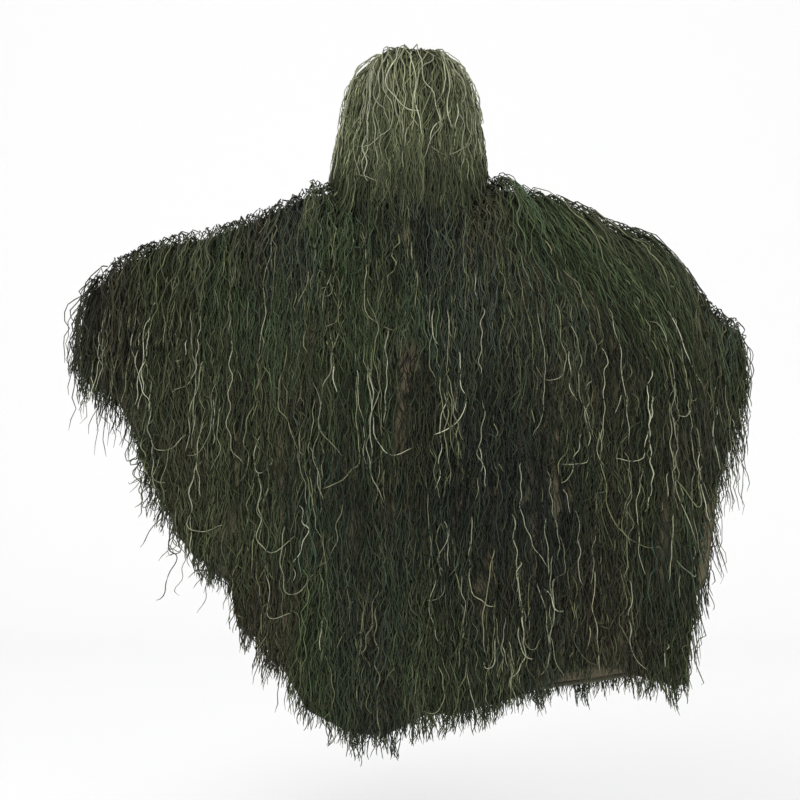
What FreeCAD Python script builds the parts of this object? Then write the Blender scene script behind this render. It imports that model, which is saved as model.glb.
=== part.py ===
"""Hooded yarn-fringe camouflage cape, in the shape it takes on a wearer with both arms held out.

Millimetres, +Z up. The front faces -Y, and the wearer's right hand is at -X. The origin is the centre
of the neck opening, level with the top of the shoulders, where the cape hangs on its wearer.
"""
import FreeCAD, Part
import math
import os

from FreeCAD import Vector

# Layers, measured outwards from the inner face of the base cloth
CLOTH_THICKNESS = 2.0
FRINGE_THICKNESS = 14.0
FRINGE_OUTER = CLOTH_THICKNESS + FRINGE_THICKNESS
TAPE_THICKNESS = 3.0

# Neck opening: a rounded slot, tilted so that its front edge is the lower one
NECK_HALF_WIDTH = 112.0
NECK_FLAT_HALF_WIDTH = 60.0
NECK_FRONT = 135.0
NECK_BACK = 115.0
NECK_CENTRE_Z = 5.0
NECK_TILT = 0.15

# Depth of the hanging cloth in front of and behind the arms
BODY_BACK = 118.0
ARM_HALF_DEPTH = 58.0
SHOULDER_DROP = 140.0
ARM_DROP = 75.0
DRAPE_POWER = 2.2
ARM_START_X = 112.0
SHOULDER_END_X = 200.0
ARM_FULL_X = 450.0
ARM_FORWARD_SWEEP = 0.08

# Outline of the cape: x, height of the arm line, height of the front hem, height of the back hem
OUTLINE = (
    (-650.0, -212.0, -375.0, -390.0),
    (-600.0, -166.0, -405.0, -420.0),
    (-552.0, -136.0, -410.0, -520.0),
    (-534.0, -129.0, -545.0, -580.0),
    (-490.0, -108.0, -620.0, -660.0),
    (-465.0, -102.0, -685.0, -695.0),
    (-430.0, -96.0, -735.0, -745.0),
    (-385.0, -83.0, -752.0, -790.0),
    (-360.0, -76.0, -755.0, -810.0),
    (-345.0, -70.0, -870.0, -885.0),
    (-280.0, -41.0, -910.0, -950.0),
    (-245.0, -24.0, -965.0, -985.0),
    (-200.0, -6.0, -1035.0, -1020.0),
    (-112.0, 5.0, -1075.0, -1055.0),
    (-101.0, 5.0, -1077.0, -1058.0),
    (-80.0, 5.0, -1080.0, -1062.0),
    (-60.0, 5.0, -1082.0, -1064.0),
    (-50.0, 5.0, -1080.0, -1065.0),
    (25.0, 5.0, -1040.0, -1066.0),
    (60.0, 5.0, -1036.0, -1064.0),
    (80.0, 5.0, -1035.0, -1062.0),
    (101.0, 5.0, -1034.0, -1058.0),
    (112.0, 5.0, -1032.0, -1055.0),
    (200.0, 6.0, -1010.0, -1040.0),
    (290.0, -22.0, -970.0, -1020.0),
    (365.0, -48.0, -950.0, -1005.0),
    (400.0, -76.0, -955.0, -1000.0),
    (490.0, -108.0, -980.0, -985.0),
    (524.0, -134.0, -990.0, -970.0),
    (552.0, -166.0, -985.0, -950.0),
    (568.0, -192.0, -800.0, -885.0),
    (585.0, -216.0, -640.0, -830.0),
    (612.0, -246.0, -590.0, -785.0),
    (632.0, -262.0, -520.0, -600.0),
    (668.0, -286.0, -400.0, -430.0),
)
COLUMN_X = [column[0] for column in OUTLINE]

# Heights of the sewn rows as a share of the way from the arm line down to the hem
ROW_SHARE = (0.0, 0.03, 0.08, 0.165, 0.25, 0.35, 0.45, 0.55, 0.65, 0.765, 0.88, 1.0)
FRINGE_TIERS = ((0, 2), (2, 4), (4, 6), (6, 8), (8, 10), (10, 11))
SLIT_ROWS = (1, 4)
SLIT_LEFT_X = -50.0
SLIT_RIGHT_X = 25.0

# Chest placket and its press studs
FLAP_LEFT_X = -24.0
FLAP_RIGHT_X = 22.0
FLAP_FRINGE_LEFT_X = -10.0
FLAP_INNER = 6.0
FLAP_THICKNESS = 2.0
FLAP_FRINGE_INNER = 9.6
FLAP_END_GAP = 1.5
STUD_COUNT = 3
STUD_X = 8.0
STUD_PITCH = 72.0
STUD_FLANGE_RADIUS = 6.0
STUD_FLANGE_THICKNESS = 0.8
STUD_KNOB_RADIUS = 2.2
STUD_KNOB_HEIGHT = 2.2
SOCKET_CAVITY_RADIUS = 2.6
SOCKET_GAP = 0.4
POST_SHANK_RADIUS = 1.2
POST_HEAD_THICKNESS = 1.0
CAP_RADIUS = 6.5
CAP_THICKNESS = 1.2
SHANK_CLEARANCE = 0.15

# Hood: horizontal sections as (height above the neck opening, half width, half depth, shift to +X)
HOOD_SECTIONS = (
    (8.0, 108.0, 120.0, 0.0),
    (50.0, 113.0, 124.0, 0.0),
    (100.0, 121.0, 128.0, 1.0),
    (150.0, 122.0, 127.0, 3.0),
    (195.0, 112.0, 114.0, 3.0),
    (228.0, 97.0, 90.0, 3.0),
    (252.0, 74.0, 64.0, 6.0),
    (268.0, 42.0, 38.0, 14.0),
    (276.0, 0.0, 0.0, 24.0),
)
HOOD_CENTRE_Y = -5.0
HOOD_COLUMNS = 9
HOOD_TILT_END = 228.0
BRIM_SIDE_ANGLE = 135.0
BRIM_RISE_START = 150.0
BRIM_RISE_END = 228.0
HOOD_TIERS = (("low", 0, 2), ("middle", 2, 4), ("crown", 4, 8))
CHANNEL_ROWS = (0, 4)

# Eyelets where the hood's draw channel opens
EYELET_BORE_RADIUS = 3.0
EYELET_BARREL_RADIUS = 4.2
EYELET_FLANGE_RADIUS = 7.0
EYELET_FLANGE_THICKNESS = 0.9

# Face veil: a curved curtain that hangs from a stiffened header at the brim
VEIL_CENTRE_X = 8.0
VEIL_CENTRE_Y = -28.0
VEIL_INNER_RADIUS = 110.0
VEIL_OUTER_RADIUS = 124.0
VEIL_HALF_ANGLE = 42.0
VEIL_BOTTOM_Z = -5.0
VEIL_TOP_Z = 214.0
VEIL_HEADER_HEIGHT = 10.0
VEIL_HEADER_INNER_RADIUS = 101.5

# Wrist loops of elastic webbing, and the tab that sews each one to the end of the arm line.
# Each place is the tab's x and the slope of the arm there in degrees.
LOOP_INNER_RADIUS = 34.0
LOOP_THICKNESS = 2.0
LOOP_WIDTH = 25.0
RIGHT_ARM_LOOP = (-618.0, 42.0)
LEFT_ARM_LOOP = (628.0, 38.0)
LOOP_DROP = 27.0
TAB_TALL = 60.0
TAB_LENGTH = 1.6
TAB_WIDTH = 14.0
TAB_GAP = 0.8

# Hanging loop at the nape
HANGER_HALF_WIDTH = 26.0
HANGER_HEIGHT = 24.0
HANGER_TAPE = 6.0
HANGER_THICKNESS = 1.6
HANGER_TOP_Z = 12.0
HANGER_GAP = 1.0

HEM_DEPTH = 10.0
NECK_BAND_UP = 4.0
NECK_BAND_DOWN = 10.0
NECK_BAND_OUTER_SHARE = 0.998
NECK_BAND_INNER_SHARE = 0.971

SAME_POINT = 1e-6


def between(value, low, high):
    """Smooth step from 0 at low to 1 at high."""
    share = min(max((value - low) / (high - low), 0.0), 1.0)
    return share * share * (3.0 - 2.0 * share)


def interpolate(value, table, column):
    """Linear value of one column of a table whose first column rises."""
    for first, second in zip(table, table[1:]):
        if value <= second[0]:
            share = (value - first[0]) / (second[0] - first[0])
            return first[column] + share * (second[column] - first[column])
    return table[-1][column]


# Closed solids between two grids of points

def triangle(first, second, third):
    """Flat face, or None where two of its corners meet."""
    for start, end in ((first, second), (second, third), (third, first)):
        if (start - end).Length < SAME_POINT:
            return None
    return Part.Face(Part.makePolygon([first, second, third, first]))


def patch(corner, beside, across, below):
    """The two triangles of a quad, always split from corner to across."""
    faces = (triangle(corner, beside, across), triangle(corner, across, below))
    return [face for face in faces if face is not None]


def thick_grid(inner, outer):
    """Solid between two grids of the same size, each a list of rows of points."""
    rows = len(inner)
    columns = len(inner[0])
    faces = []
    for row in range(rows - 1):
        for column in range(columns - 1):
            for grid in (inner, outer):
                faces += patch(grid[row][column], grid[row][column + 1],
                               grid[row + 1][column + 1], grid[row + 1][column])
    for row in (0, rows - 1):
        for column in range(columns - 1):
            faces += patch(inner[row][column], inner[row][column + 1],
                           outer[row][column + 1], outer[row][column])
    for column in (0, columns - 1):
        for row in range(rows - 1):
            faces += patch(inner[row][column], inner[row + 1][column],
                           outer[row + 1][column], outer[row][column])
    shell = Part.makeShell(faces)
    shell.sewShape()
    solid = Part.makeSolid(shell)
    if solid.Volume < 0:
        solid.reverse()
    return solid


# Drape of the cape

def neck_z(y):
    """Height of the tilted neck opening at a depth."""
    return NECK_CENTRE_Z + NECK_TILT * y


def neck_edge(x, reach):
    """Distance of the neck opening's edge in front of or behind the arm line, 0 beside the neck."""
    aside = abs(x) - NECK_FLAT_HALF_WIDTH
    if aside <= 0.0:
        return reach
    share = aside / (NECK_HALF_WIDTH - NECK_FLAT_HALF_WIDTH)
    return reach * math.sqrt(max(1.0 - share * share, 0.0))


def arm_line_y(x):
    """The arms reach forward a little, so the arm line runs forward towards the wrists."""
    return -ARM_FORWARD_SWEEP * max(abs(x) - ARM_START_X, 0.0)


def drape_point(face, column, row_share, offset):
    """Point of the hanging cloth: face is "front" or "back", offset is outwards from its inner side."""
    x, arm_z, front_hem, back_hem = OUTLINE[column]
    side = -1.0 if face == "front" else 1.0
    reach = NECK_FRONT if face == "front" else NECK_BACK
    full = NECK_FRONT if face == "front" else BODY_BACK
    hem = front_hem if face == "front" else back_hem
    aside = abs(x)
    edge = neck_edge(x, reach) if aside < NECK_HALF_WIDTH else 0.0
    hanging = full + (ARM_HALF_DEPTH - full) * between(aside, NECK_FLAT_HALF_WIDTH, ARM_FULL_X)
    drop = SHOULDER_DROP + (ARM_DROP - SHOULDER_DROP) * between(aside, ARM_START_X, ARM_FULL_X)
    upwards = between(aside, ARM_START_X, SHOULDER_END_X)
    top = neck_z(side * edge) if aside < NECK_HALF_WIDTH else arm_z
    top += offset * upwards
    depth = row_share * (top - hem)
    start = edge + offset * (1.0 - upwards)
    share = 1.0 - (1.0 - min(depth / drop, 1.0)) ** DRAPE_POWER
    reach_out = start + (hanging + offset - start) * share
    return Vector(x, arm_line_y(x) + side * reach_out, top - depth)


def drape_solid(face, columns, rows, inner, outer):
    """Layer of the cape over a run of columns and rows."""
    grids = []
    for offset in (inner, outer):
        grids.append([[drape_point(face, column, ROW_SHARE[row], offset)
                       for column in range(columns[0], columns[1] + 1)]
                      for row in range(rows[0], rows[1] + 1)])
    return thick_grid(*grids)


def column_at(x):
    return COLUMN_X.index(x)


def cape_panels():
    """Two front and two back panels of base cloth, with the chest slit left open."""
    last_row = len(ROW_SHARE) - 1
    last_column = len(COLUMN_X) - 1
    slit_left = column_at(SLIT_LEFT_X)
    slit_right = column_at(SLIT_RIGHT_X)
    top_row, low_row = SLIT_ROWS
    right = drape_solid("front", (0, slit_left), (0, last_row), 0.0, CLOTH_THICKNESS)
    left = drape_solid("front", (slit_right, last_column), (0, last_row), 0.0, CLOTH_THICKNESS)
    bridges = [drape_solid("front", (slit_left, slit_right), rows, 0.0, CLOTH_THICKNESS)
               for rows in ((0, top_row), (low_row, last_row))]
    middle = column_at(-50.0)
    panels = {
        "front_panel_right_arm": right.fuse(bridges[1]).removeSplitter(),
        "front_panel_left_arm": left.fuse(bridges[0]).removeSplitter(),
        "back_panel_right_arm": drape_solid("back", (0, middle), (0, last_row),
                                            0.0, CLOTH_THICKNESS),
        "back_panel_left_arm": drape_solid("back", (middle, last_column), (0, last_row),
                                           0.0, CLOTH_THICKNESS),
    }
    return panels


def cape_fringes():
    """Tiers of yarn fringe. The two upper front tiers stop either side of the chest slit."""
    last_column = len(COLUMN_X) - 1
    slit_left = column_at(SLIT_LEFT_X)
    slit_right = column_at(SLIT_RIGHT_X)
    tiers = {}
    for number, rows in enumerate(FRINGE_TIERS, start=1):
        layer = (rows, CLOTH_THICKNESS, FRINGE_OUTER)
        if rows[1] <= SLIT_ROWS[1]:
            tiers[f"front_fringe_{number}_right_arm"] = drape_solid("front", (0, slit_left), *layer)
            tiers[f"front_fringe_{number}_left_arm"] = drape_solid(
                "front", (slit_right, last_column), *layer)
        else:
            tiers[f"front_fringe_{number}"] = drape_solid("front", (0, last_column), *layer)
        tiers[f"back_fringe_{number}"] = drape_solid("back", (0, last_column), *layer)
    return tiers


def arm_tapes():
    """Tape that covers the seam along each arm line, on the inner side."""
    last_column = len(COLUMN_X) - 1
    runs = {"arm_seam_tape_right_arm": (0, column_at(-200.0)),
            "arm_seam_tape_left_arm": (column_at(200.0), last_column)}
    return {name: drape_solid("front", columns, (0, 1), -TAPE_THICKNESS, 0.0)
            for name, columns in runs.items()}


def hem_binding(face, columns):
    """Folded tape along the lower edge of the cloth."""
    grids = []
    for offset in (-1.0, CLOTH_THICKNESS + 1.0):
        edge = [drape_point(face, column, 1.0, offset)
                for column in range(columns[0], columns[1] + 1)]
        grids.append([edge, [point - Vector(0.0, 0.0, HEM_DEPTH) for point in edge]])
    return thick_grid(*grids)


def hem_bindings():
    last_column = len(COLUMN_X) - 1
    middle = column_at(-50.0)
    return {f"hem_binding_{face}_{arm}": hem_binding(face, columns)
            for face in ("front", "back")
            for arm, columns in (("right_arm", (0, middle)), ("left_arm", (middle, last_column)))}


def neck_ring(share):
    """Corners of the neck opening, drawn in towards its centre to a share of their distance."""
    ring_x = [x for x in COLUMN_X if abs(x) <= NECK_HALF_WIDTH]
    front = [(x, -neck_edge(x, NECK_FRONT)) for x in ring_x]
    back = [(x, neck_edge(x, NECK_BACK)) for x in reversed(ring_x[1:-1])]
    return [(share * x, share * y) for x, y in front + back]


def neck_binding():
    """Band round the neck opening, on its inner side."""
    def prism(share):
        low = [Vector(x, y, neck_z(y) - NECK_BAND_DOWN) for x, y in neck_ring(share)]
        face = Part.Face(Part.makePolygon(low + low[:1]))
        return face.extrude(Vector(0.0, 0.0, NECK_BAND_UP + NECK_BAND_DOWN))
    return prism(NECK_BAND_OUTER_SHARE).cut(prism(NECK_BAND_INNER_SHARE))


# Chest placket with its press studs

def drum(radius, x, z, start, end):
    """Round bar along Y, from one distance in front of the cloth's inner face to another."""
    base = Vector(x, -NECK_FRONT - start, z)
    return Part.makeCylinder(radius, end - start, base, Vector(0.0, -1.0, 0.0))


def slit_ends():
    """Lowest and highest height that is inside the slit at both of its edges."""
    edges = [column_at(SLIT_LEFT_X), column_at(SLIT_RIGHT_X)]
    top_share, low_share = (ROW_SHARE[row] for row in SLIT_ROWS)
    high = min(drape_point("front", column, top_share, 0.0).z for column in edges)
    low = max(drape_point("front", column, low_share, 0.0).z for column in edges)
    return low + FLAP_END_GAP, high - FLAP_END_GAP


def slit_box(left, right, low, high, start, end):
    """Flat plate parallel to the chest."""
    corner = Vector(left, -NECK_FRONT - end, low)
    return Part.makeBox(right - left, end - start, high - low, corner)


def stud_heights():
    first = sum(slit_ends()) / 2.0 + STUD_PITCH * (STUD_COUNT - 1) / 2.0
    return [first - STUD_PITCH * index for index in range(STUD_COUNT)]


def holes(radius, start, end):
    return Part.Compound([drum(radius, STUD_X, z, start, end) for z in stud_heights()])


def placket_under():
    """Cloth behind the slit, from the panel on one side to the panel on the other."""
    grid_solid = drape_solid("front", (column_at(SLIT_LEFT_X), column_at(SLIT_RIGHT_X)),
                             SLIT_ROWS, 0.0, CLOTH_THICKNESS)
    return grid_solid.cut(holes(POST_SHANK_RADIUS + SHANK_CLEARANCE, -1.0, CLOTH_THICKNESS + 1.0))


def placket_flap():
    """Moving flap that closes over the slit."""
    low, high = slit_ends()
    plate = slit_box(FLAP_LEFT_X, FLAP_RIGHT_X, low, high, FLAP_INNER, FLAP_INNER + FLAP_THICKNESS)
    return plate.cut(holes(POST_SHANK_RADIUS + SHANK_CLEARANCE, FLAP_INNER - 1.0,
                           FLAP_INNER + FLAP_THICKNESS + 1.0))


def placket_fringe():
    low, high = slit_ends()
    return slit_box(FLAP_FRINGE_LEFT_X, FLAP_RIGHT_X, low, high, FLAP_FRINGE_INNER, FRINGE_OUTER)


def press_stud(z):
    """Flange and knob on the outside of the placket, bored for the post."""
    flange_end = CLOTH_THICKNESS + STUD_FLANGE_THICKNESS
    flange = drum(STUD_FLANGE_RADIUS, STUD_X, z, CLOTH_THICKNESS, flange_end)
    knob = drum(STUD_KNOB_RADIUS, STUD_X, z, flange_end, flange_end + STUD_KNOB_HEIGHT)
    bore = drum(POST_SHANK_RADIUS, STUD_X, z, CLOTH_THICKNESS - 1.0, flange_end)
    return flange.fuse(knob).cut(bore)


def press_post(z):
    """Head inside the cloth and a shank that goes through it into the stud."""
    head = drum(CAP_RADIUS, STUD_X, z, -POST_HEAD_THICKNESS, 0.0)
    shank_end = CLOTH_THICKNESS + STUD_FLANGE_THICKNESS
    shank = drum(POST_SHANK_RADIUS, STUD_X, z, 0.0, shank_end)
    return head.fuse(shank)


def press_socket(z):
    """Ring on the inside of the flap whose cavity snaps over the knob."""
    start = CLOTH_THICKNESS + STUD_FLANGE_THICKNESS + SOCKET_GAP
    cavity_end = CLOTH_THICKNESS + STUD_FLANGE_THICKNESS + STUD_KNOB_HEIGHT + SOCKET_GAP
    body = drum(STUD_FLANGE_RADIUS, STUD_X, z, start, FLAP_INNER)
    return body.cut(drum(SOCKET_CAVITY_RADIUS, STUD_X, z, start - 1.0, cavity_end))


def press_cap(z):
    """Cap on the outside of the flap, with a short shank through the flap."""
    outside = FLAP_INNER + FLAP_THICKNESS
    cap = drum(CAP_RADIUS, STUD_X, z, outside, outside + CAP_THICKNESS)
    return cap.fuse(drum(POST_SHANK_RADIUS, STUD_X, z, FLAP_INNER, outside))


def placket():
    heights = stud_heights()
    return {
        "placket_under": placket_under(),
        "placket_flap": placket_flap(),
        "placket_fringe": placket_fringe(),
        "press_studs": Part.Compound([press_stud(z) for z in heights]),
        "press_posts": Part.Compound([press_post(z) for z in heights]),
        "press_sockets": Part.Compound([press_socket(z) for z in heights]),
        "press_caps": Part.Compound([press_cap(z) for z in heights]),
    }


# Hood

def brim_angle(height):
    """Angle from the back of the head to the brim: the brim arches to the front centre at its top."""
    rise = between(height, BRIM_RISE_START, BRIM_RISE_END)
    return BRIM_SIDE_ANGLE + (180.0 - BRIM_SIDE_ANGLE) * rise


def hood_point(side, row, column, offset):
    """Point of one hood half: side is -1 or 1, column 0 is the back seam, the last is the brim."""
    height, half_width, half_depth, shift = HOOD_SECTIONS[row]
    angle = math.radians(brim_angle(height) * column / HOOD_COLUMNS)
    slope_share = between(height, BRIM_RISE_START, HOOD_SECTIONS[-1][0])
    out = offset * (1.0 - slope_share) if half_width else 0.0
    y = HOOD_CENTRE_Y + (half_depth + out) * math.cos(angle)
    tilt = 1.0 - between(height, 0.0, HOOD_TILT_END)
    z = NECK_CENTRE_Z + NECK_TILT * y * tilt + height + offset * slope_share
    return Vector(shift + side * (half_width + out) * math.sin(angle), y, z)


def hood_solid(side, rows, columns, inner, outer):
    grids = []
    for offset in (inner, outer):
        grids.append([[hood_point(side, row, column, offset)
                       for column in range(columns[0], columns[1] + 1)]
                      for row in range(rows[0], rows[1] + 1)])
    return thick_grid(*grids)


def eyelet_place(side):
    """Centre and outward direction of the eyelet, in the middle of a facet beside the brim."""
    corners = [hood_point(side, 0, HOOD_COLUMNS - 1, CLOTH_THICKNESS),
               hood_point(side, 0, HOOD_COLUMNS, CLOTH_THICKNESS),
               hood_point(side, 1, HOOD_COLUMNS, CLOTH_THICKNESS)]
    centre = (corners[0] + corners[1] + corners[2]) / 3.0
    outward = (corners[1] - corners[0]).cross(corners[2] - corners[0]).normalize()
    if outward.x * side < 0.0:
        outward = outward * -1.0
    return centre, outward


def eyelet(side):
    """Flanged barrel, from outside the cloth to inside the channel tape."""
    centre, outward = eyelet_place(side)
    through = CLOTH_THICKNESS + TAPE_THICKNESS + 0.4
    flange = Part.makeCylinder(EYELET_FLANGE_RADIUS, EYELET_FLANGE_THICKNESS, centre, outward)
    barrel_start = centre - outward * through
    barrel = Part.makeCylinder(EYELET_BARREL_RADIUS, through, barrel_start, outward)
    bore = Part.makeCylinder(EYELET_BORE_RADIUS, through + 4.0, barrel_start - outward, outward)
    return flange.fuse(barrel).cut(bore)


def eyelet_washer(side):
    """Washer that the barrel is set against, inside the channel tape."""
    centre, outward = eyelet_place(side)
    start = centre - outward * (CLOTH_THICKNESS + TAPE_THICKNESS + 0.4 + EYELET_FLANGE_THICKNESS)
    ring = Part.makeCylinder(EYELET_FLANGE_RADIUS, EYELET_FLANGE_THICKNESS, start, outward)
    bore = Part.makeCylinder(EYELET_BORE_RADIUS, EYELET_FLANGE_THICKNESS, start, outward)
    return ring.cut(bore)


def eyelet_hole(side):
    centre, outward = eyelet_place(side)
    depth = CLOTH_THICKNESS + TAPE_THICKNESS + 6.0
    start = centre - outward * (depth - 3.0)
    return Part.makeCylinder(EYELET_BARREL_RADIUS + SHANK_CLEARANCE, depth, start, outward)


def hood_parts():
    """Two cloth halves, their channel tapes and the fringe tiers of each half."""
    parts = {}
    last_row = len(HOOD_SECTIONS) - 1
    for side, arm in ((-1.0, "right_side"), (1.0, "left_side")):
        shell = hood_solid(side, (0, last_row), (0, HOOD_COLUMNS), 0.0, CLOTH_THICKNESS)
        channel = hood_solid(side, CHANNEL_ROWS, (HOOD_COLUMNS - 1, HOOD_COLUMNS),
                             -TAPE_THICKNESS, 0.0)
        parts[f"hood_panel_{arm}"] = shell.cut(eyelet_hole(side))
        parts[f"draw_channel_{arm}"] = channel.cut(eyelet_hole(side))
        for name, low, high in HOOD_TIERS:
            parts[f"hood_fringe_{name}_{arm}"] = hood_solid(
                side, (low, high), (0, HOOD_COLUMNS - 1), CLOTH_THICKNESS, FRINGE_OUTER)
    sides = (-1.0, 1.0)
    parts["draw_eyelets"] = Part.Compound([eyelet(side) for side in sides])
    parts["draw_eyelet_washers"] = Part.Compound([eyelet_washer(side) for side in sides])
    return parts


def arc_slab(inner_radius, low, high):
    """Slab bent round the face, as a ring sector."""
    centre = Vector(VEIL_CENTRE_X, VEIL_CENTRE_Y, low)
    up = Vector(0.0, 0.0, 1.0)
    height = high - low
    outer = Part.makeCylinder(VEIL_OUTER_RADIUS, height, centre, up, 2.0 * VEIL_HALF_ANGLE)
    inner = Part.makeCylinder(inner_radius, height, centre, up, 2.0 * VEIL_HALF_ANGLE)
    slab = outer.cut(inner)
    slab.rotate(centre, up, -90.0 - VEIL_HALF_ANGLE)
    return slab


def veil():
    """Header that stands out from the brim like a short peak, and the fringe that hangs from it."""
    return {
        "veil_header": arc_slab(VEIL_HEADER_INNER_RADIUS, VEIL_TOP_Z, VEIL_TOP_Z + VEIL_HEADER_HEIGHT),
        "veil_fringe": arc_slab(VEIL_INNER_RADIUS, VEIL_BOTTOM_Z, VEIL_TOP_Z),
    }


# Wrist loops and hanging loop

def loop_place(place):
    """Point on the loop's outer top, the arm's direction outwards, and the direction to its centre."""
    x, slope_degrees = place
    side = -1.0 if x < 0.0 else 1.0
    slope = math.radians(slope_degrees)
    along = Vector(side * math.cos(slope), 0.0, -math.sin(slope))
    inwards = Vector(-side * math.sin(slope), 0.0, -math.cos(slope))
    top = Vector(x, arm_line_y(x), interpolate(x, OUTLINE, 1) - LOOP_DROP)
    return top, along, inwards


def wrist_loop(place):
    top, along, inwards = loop_place(place)
    outer = LOOP_INNER_RADIUS + LOOP_THICKNESS
    start = top + inwards * outer - along * (LOOP_WIDTH / 2.0)
    ring = Part.makeCylinder(outer, LOOP_WIDTH, start, along)
    return ring.cut(Part.makeCylinder(LOOP_INNER_RADIUS, LOOP_WIDTH, start, along))


def wrist_tab(place, cloth):
    """Thin stitched tab from the cloth of the arm line down to just above the loop."""
    top, along, inwards = loop_place(place)
    plate = Part.makeBox(TAB_LENGTH, TAB_WIDTH, TAB_TALL,
                         Vector(-TAB_LENGTH / 2.0, -TAB_WIDTH / 2.0, TAB_GAP))
    turn = FreeCAD.Rotation(Vector(0.0, 0.0, 1.0), inwards * -1.0)
    plate.Placement = FreeCAD.Placement(top, turn)
    for layer in cloth:
        plate = plate.cut(layer)
    return min(plate.Solids, key=lambda solid: solid.CenterOfMass.distanceToPoint(top))


def hanging_loop():
    """Flat loop of tape inside the back of the neck opening."""
    inside = NECK_BACK - TAPE_THICKNESS - HANGER_GAP - HANGER_THICKNESS
    outer = Part.makeBox(2.0 * HANGER_HALF_WIDTH, HANGER_THICKNESS, HANGER_HEIGHT,
                         Vector(-HANGER_HALF_WIDTH, inside, HANGER_TOP_Z - HANGER_HEIGHT))
    slot = Part.makeBox(2.0 * (HANGER_HALF_WIDTH - HANGER_TAPE), HANGER_THICKNESS,
                        HANGER_HEIGHT - 2.0 * HANGER_TAPE,
                        Vector(HANGER_TAPE - HANGER_HALF_WIDTH, inside,
                               HANGER_TOP_Z - HANGER_HEIGHT + HANGER_TAPE))
    return outer.cut(slot)


def loops(parts):
    """Both wrist loops with their tabs, cut back to the cloth and tape they are sewn to, and the hanger."""
    made = {"hanging_loop": hanging_loop()}
    for arm, place in (("right_arm", RIGHT_ARM_LOOP), ("left_arm", LEFT_ARM_LOOP)):
        cloth = [parts[f"arm_seam_tape_{arm}"], parts[f"front_panel_{arm}"], parts[f"back_panel_{arm}"]]
        made[f"wrist_loop_{arm}"] = wrist_loop(place)
        made[f"wrist_tab_{arm}"] = wrist_tab(place, cloth)
    return made


def main():
    os.makedirs("parts", exist_ok=True)
    parts = {"neck_binding": neck_binding()}
    for group in (cape_panels, cape_fringes, arm_tapes, hem_bindings, placket, hood_parts, veil):
        parts.update(group())
    parts.update(loops(parts))
    for name, shape in parts.items():
        shape.exportStep(f"parts/{name}.step")
        box = shape.BoundBox
        print(f"{name:34s} {shape.isValid()} solids {len(shape.Solids)} volume {shape.Volume:12.1f} "
              f"x {box.XMin:7.1f}..{box.XMax:7.1f} y {box.YMin:7.1f}..{box.YMax:7.1f} "
              f"z {box.ZMin:8.1f}..{box.ZMax:7.1f}")


main()
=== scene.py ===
"""Looks of a hooded yarn-fringe camouflage cape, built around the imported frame.

Metres, +Z up. The front faces -Y and the wearer's right hand is at -X.
"""

import math

import bmesh
import bpy
import numpy as np
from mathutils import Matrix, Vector


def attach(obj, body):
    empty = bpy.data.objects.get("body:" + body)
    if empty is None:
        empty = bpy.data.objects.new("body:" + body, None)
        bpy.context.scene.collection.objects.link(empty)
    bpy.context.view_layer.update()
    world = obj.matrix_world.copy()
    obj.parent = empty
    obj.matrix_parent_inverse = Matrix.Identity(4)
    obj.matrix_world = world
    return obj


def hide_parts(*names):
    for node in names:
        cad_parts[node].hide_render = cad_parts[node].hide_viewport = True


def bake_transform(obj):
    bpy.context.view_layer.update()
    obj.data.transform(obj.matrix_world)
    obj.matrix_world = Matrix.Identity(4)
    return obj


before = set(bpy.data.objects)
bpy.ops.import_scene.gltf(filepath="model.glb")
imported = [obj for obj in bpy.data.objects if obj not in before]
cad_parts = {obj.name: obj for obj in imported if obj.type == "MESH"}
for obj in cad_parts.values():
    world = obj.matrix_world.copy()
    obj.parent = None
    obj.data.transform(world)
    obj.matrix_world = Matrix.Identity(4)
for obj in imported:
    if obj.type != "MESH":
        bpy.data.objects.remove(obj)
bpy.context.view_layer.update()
RNG = np.random.default_rng(627)

# Outline of the cape: x, height of the arm line, height of the front hem, height of the back hem
OUTLINE = np.array([
    (-0.650, -0.212, -0.375, -0.390), (-0.600, -0.166, -0.405, -0.420),
    (-0.552, -0.136, -0.410, -0.520), (-0.534, -0.129, -0.545, -0.580),
    (-0.490, -0.108, -0.620, -0.660), (-0.465, -0.102, -0.685, -0.695),
    (-0.430, -0.096, -0.735, -0.745), (-0.385, -0.083, -0.752, -0.790),
    (-0.360, -0.076, -0.755, -0.810), (-0.345, -0.070, -0.870, -0.885),
    (-0.280, -0.041, -0.910, -0.950), (-0.245, -0.024, -0.965, -0.985),
    (-0.200, -0.006, -1.035, -1.020), (-0.112, 0.005, -1.075, -1.055),
    (-0.060, 0.005, -1.082, -1.064), (-0.050, 0.005, -1.080, -1.065),
    (0.025, 0.005, -1.040, -1.066), (0.080, 0.005, -1.035, -1.062),
    (0.112, 0.005, -1.032, -1.055), (0.200, 0.006, -1.010, -1.040),
    (0.290, -0.022, -0.970, -1.020), (0.365, -0.048, -0.950, -1.005),
    (0.400, -0.076, -0.955, -1.000), (0.490, -0.108, -0.980, -0.985),
    (0.524, -0.134, -0.990, -0.970), (0.552, -0.166, -0.985, -0.950),
    (0.568, -0.192, -0.800, -0.885), (0.585, -0.216, -0.640, -0.830),
    (0.612, -0.246, -0.590, -0.785), (0.632, -0.262, -0.520, -0.600),
    (0.668, -0.286, -0.400, -0.430),
])
MIN_X, MAX_X = OUTLINE[0, 0], OUTLINE[-1, 0]
FRONT, BACK = -1.0, 1.0
FACES = ((FRONT, "front"), (BACK, "back"))
HOOD_HALVES = ((-1.0, "right_side"), (1.0, "left_side"))
NECK_HALF_WIDTH = 0.112
NECK_FLAT_HALF_WIDTH = 0.060
NECK_REACH = {FRONT: 0.135, BACK: 0.115}
HANGING_REACH = {FRONT: 0.135, BACK: 0.118}
ARM_HALF_DEPTH = 0.058
SHOULDER_DROP = 0.140
ARM_DROP = 0.075
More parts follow.
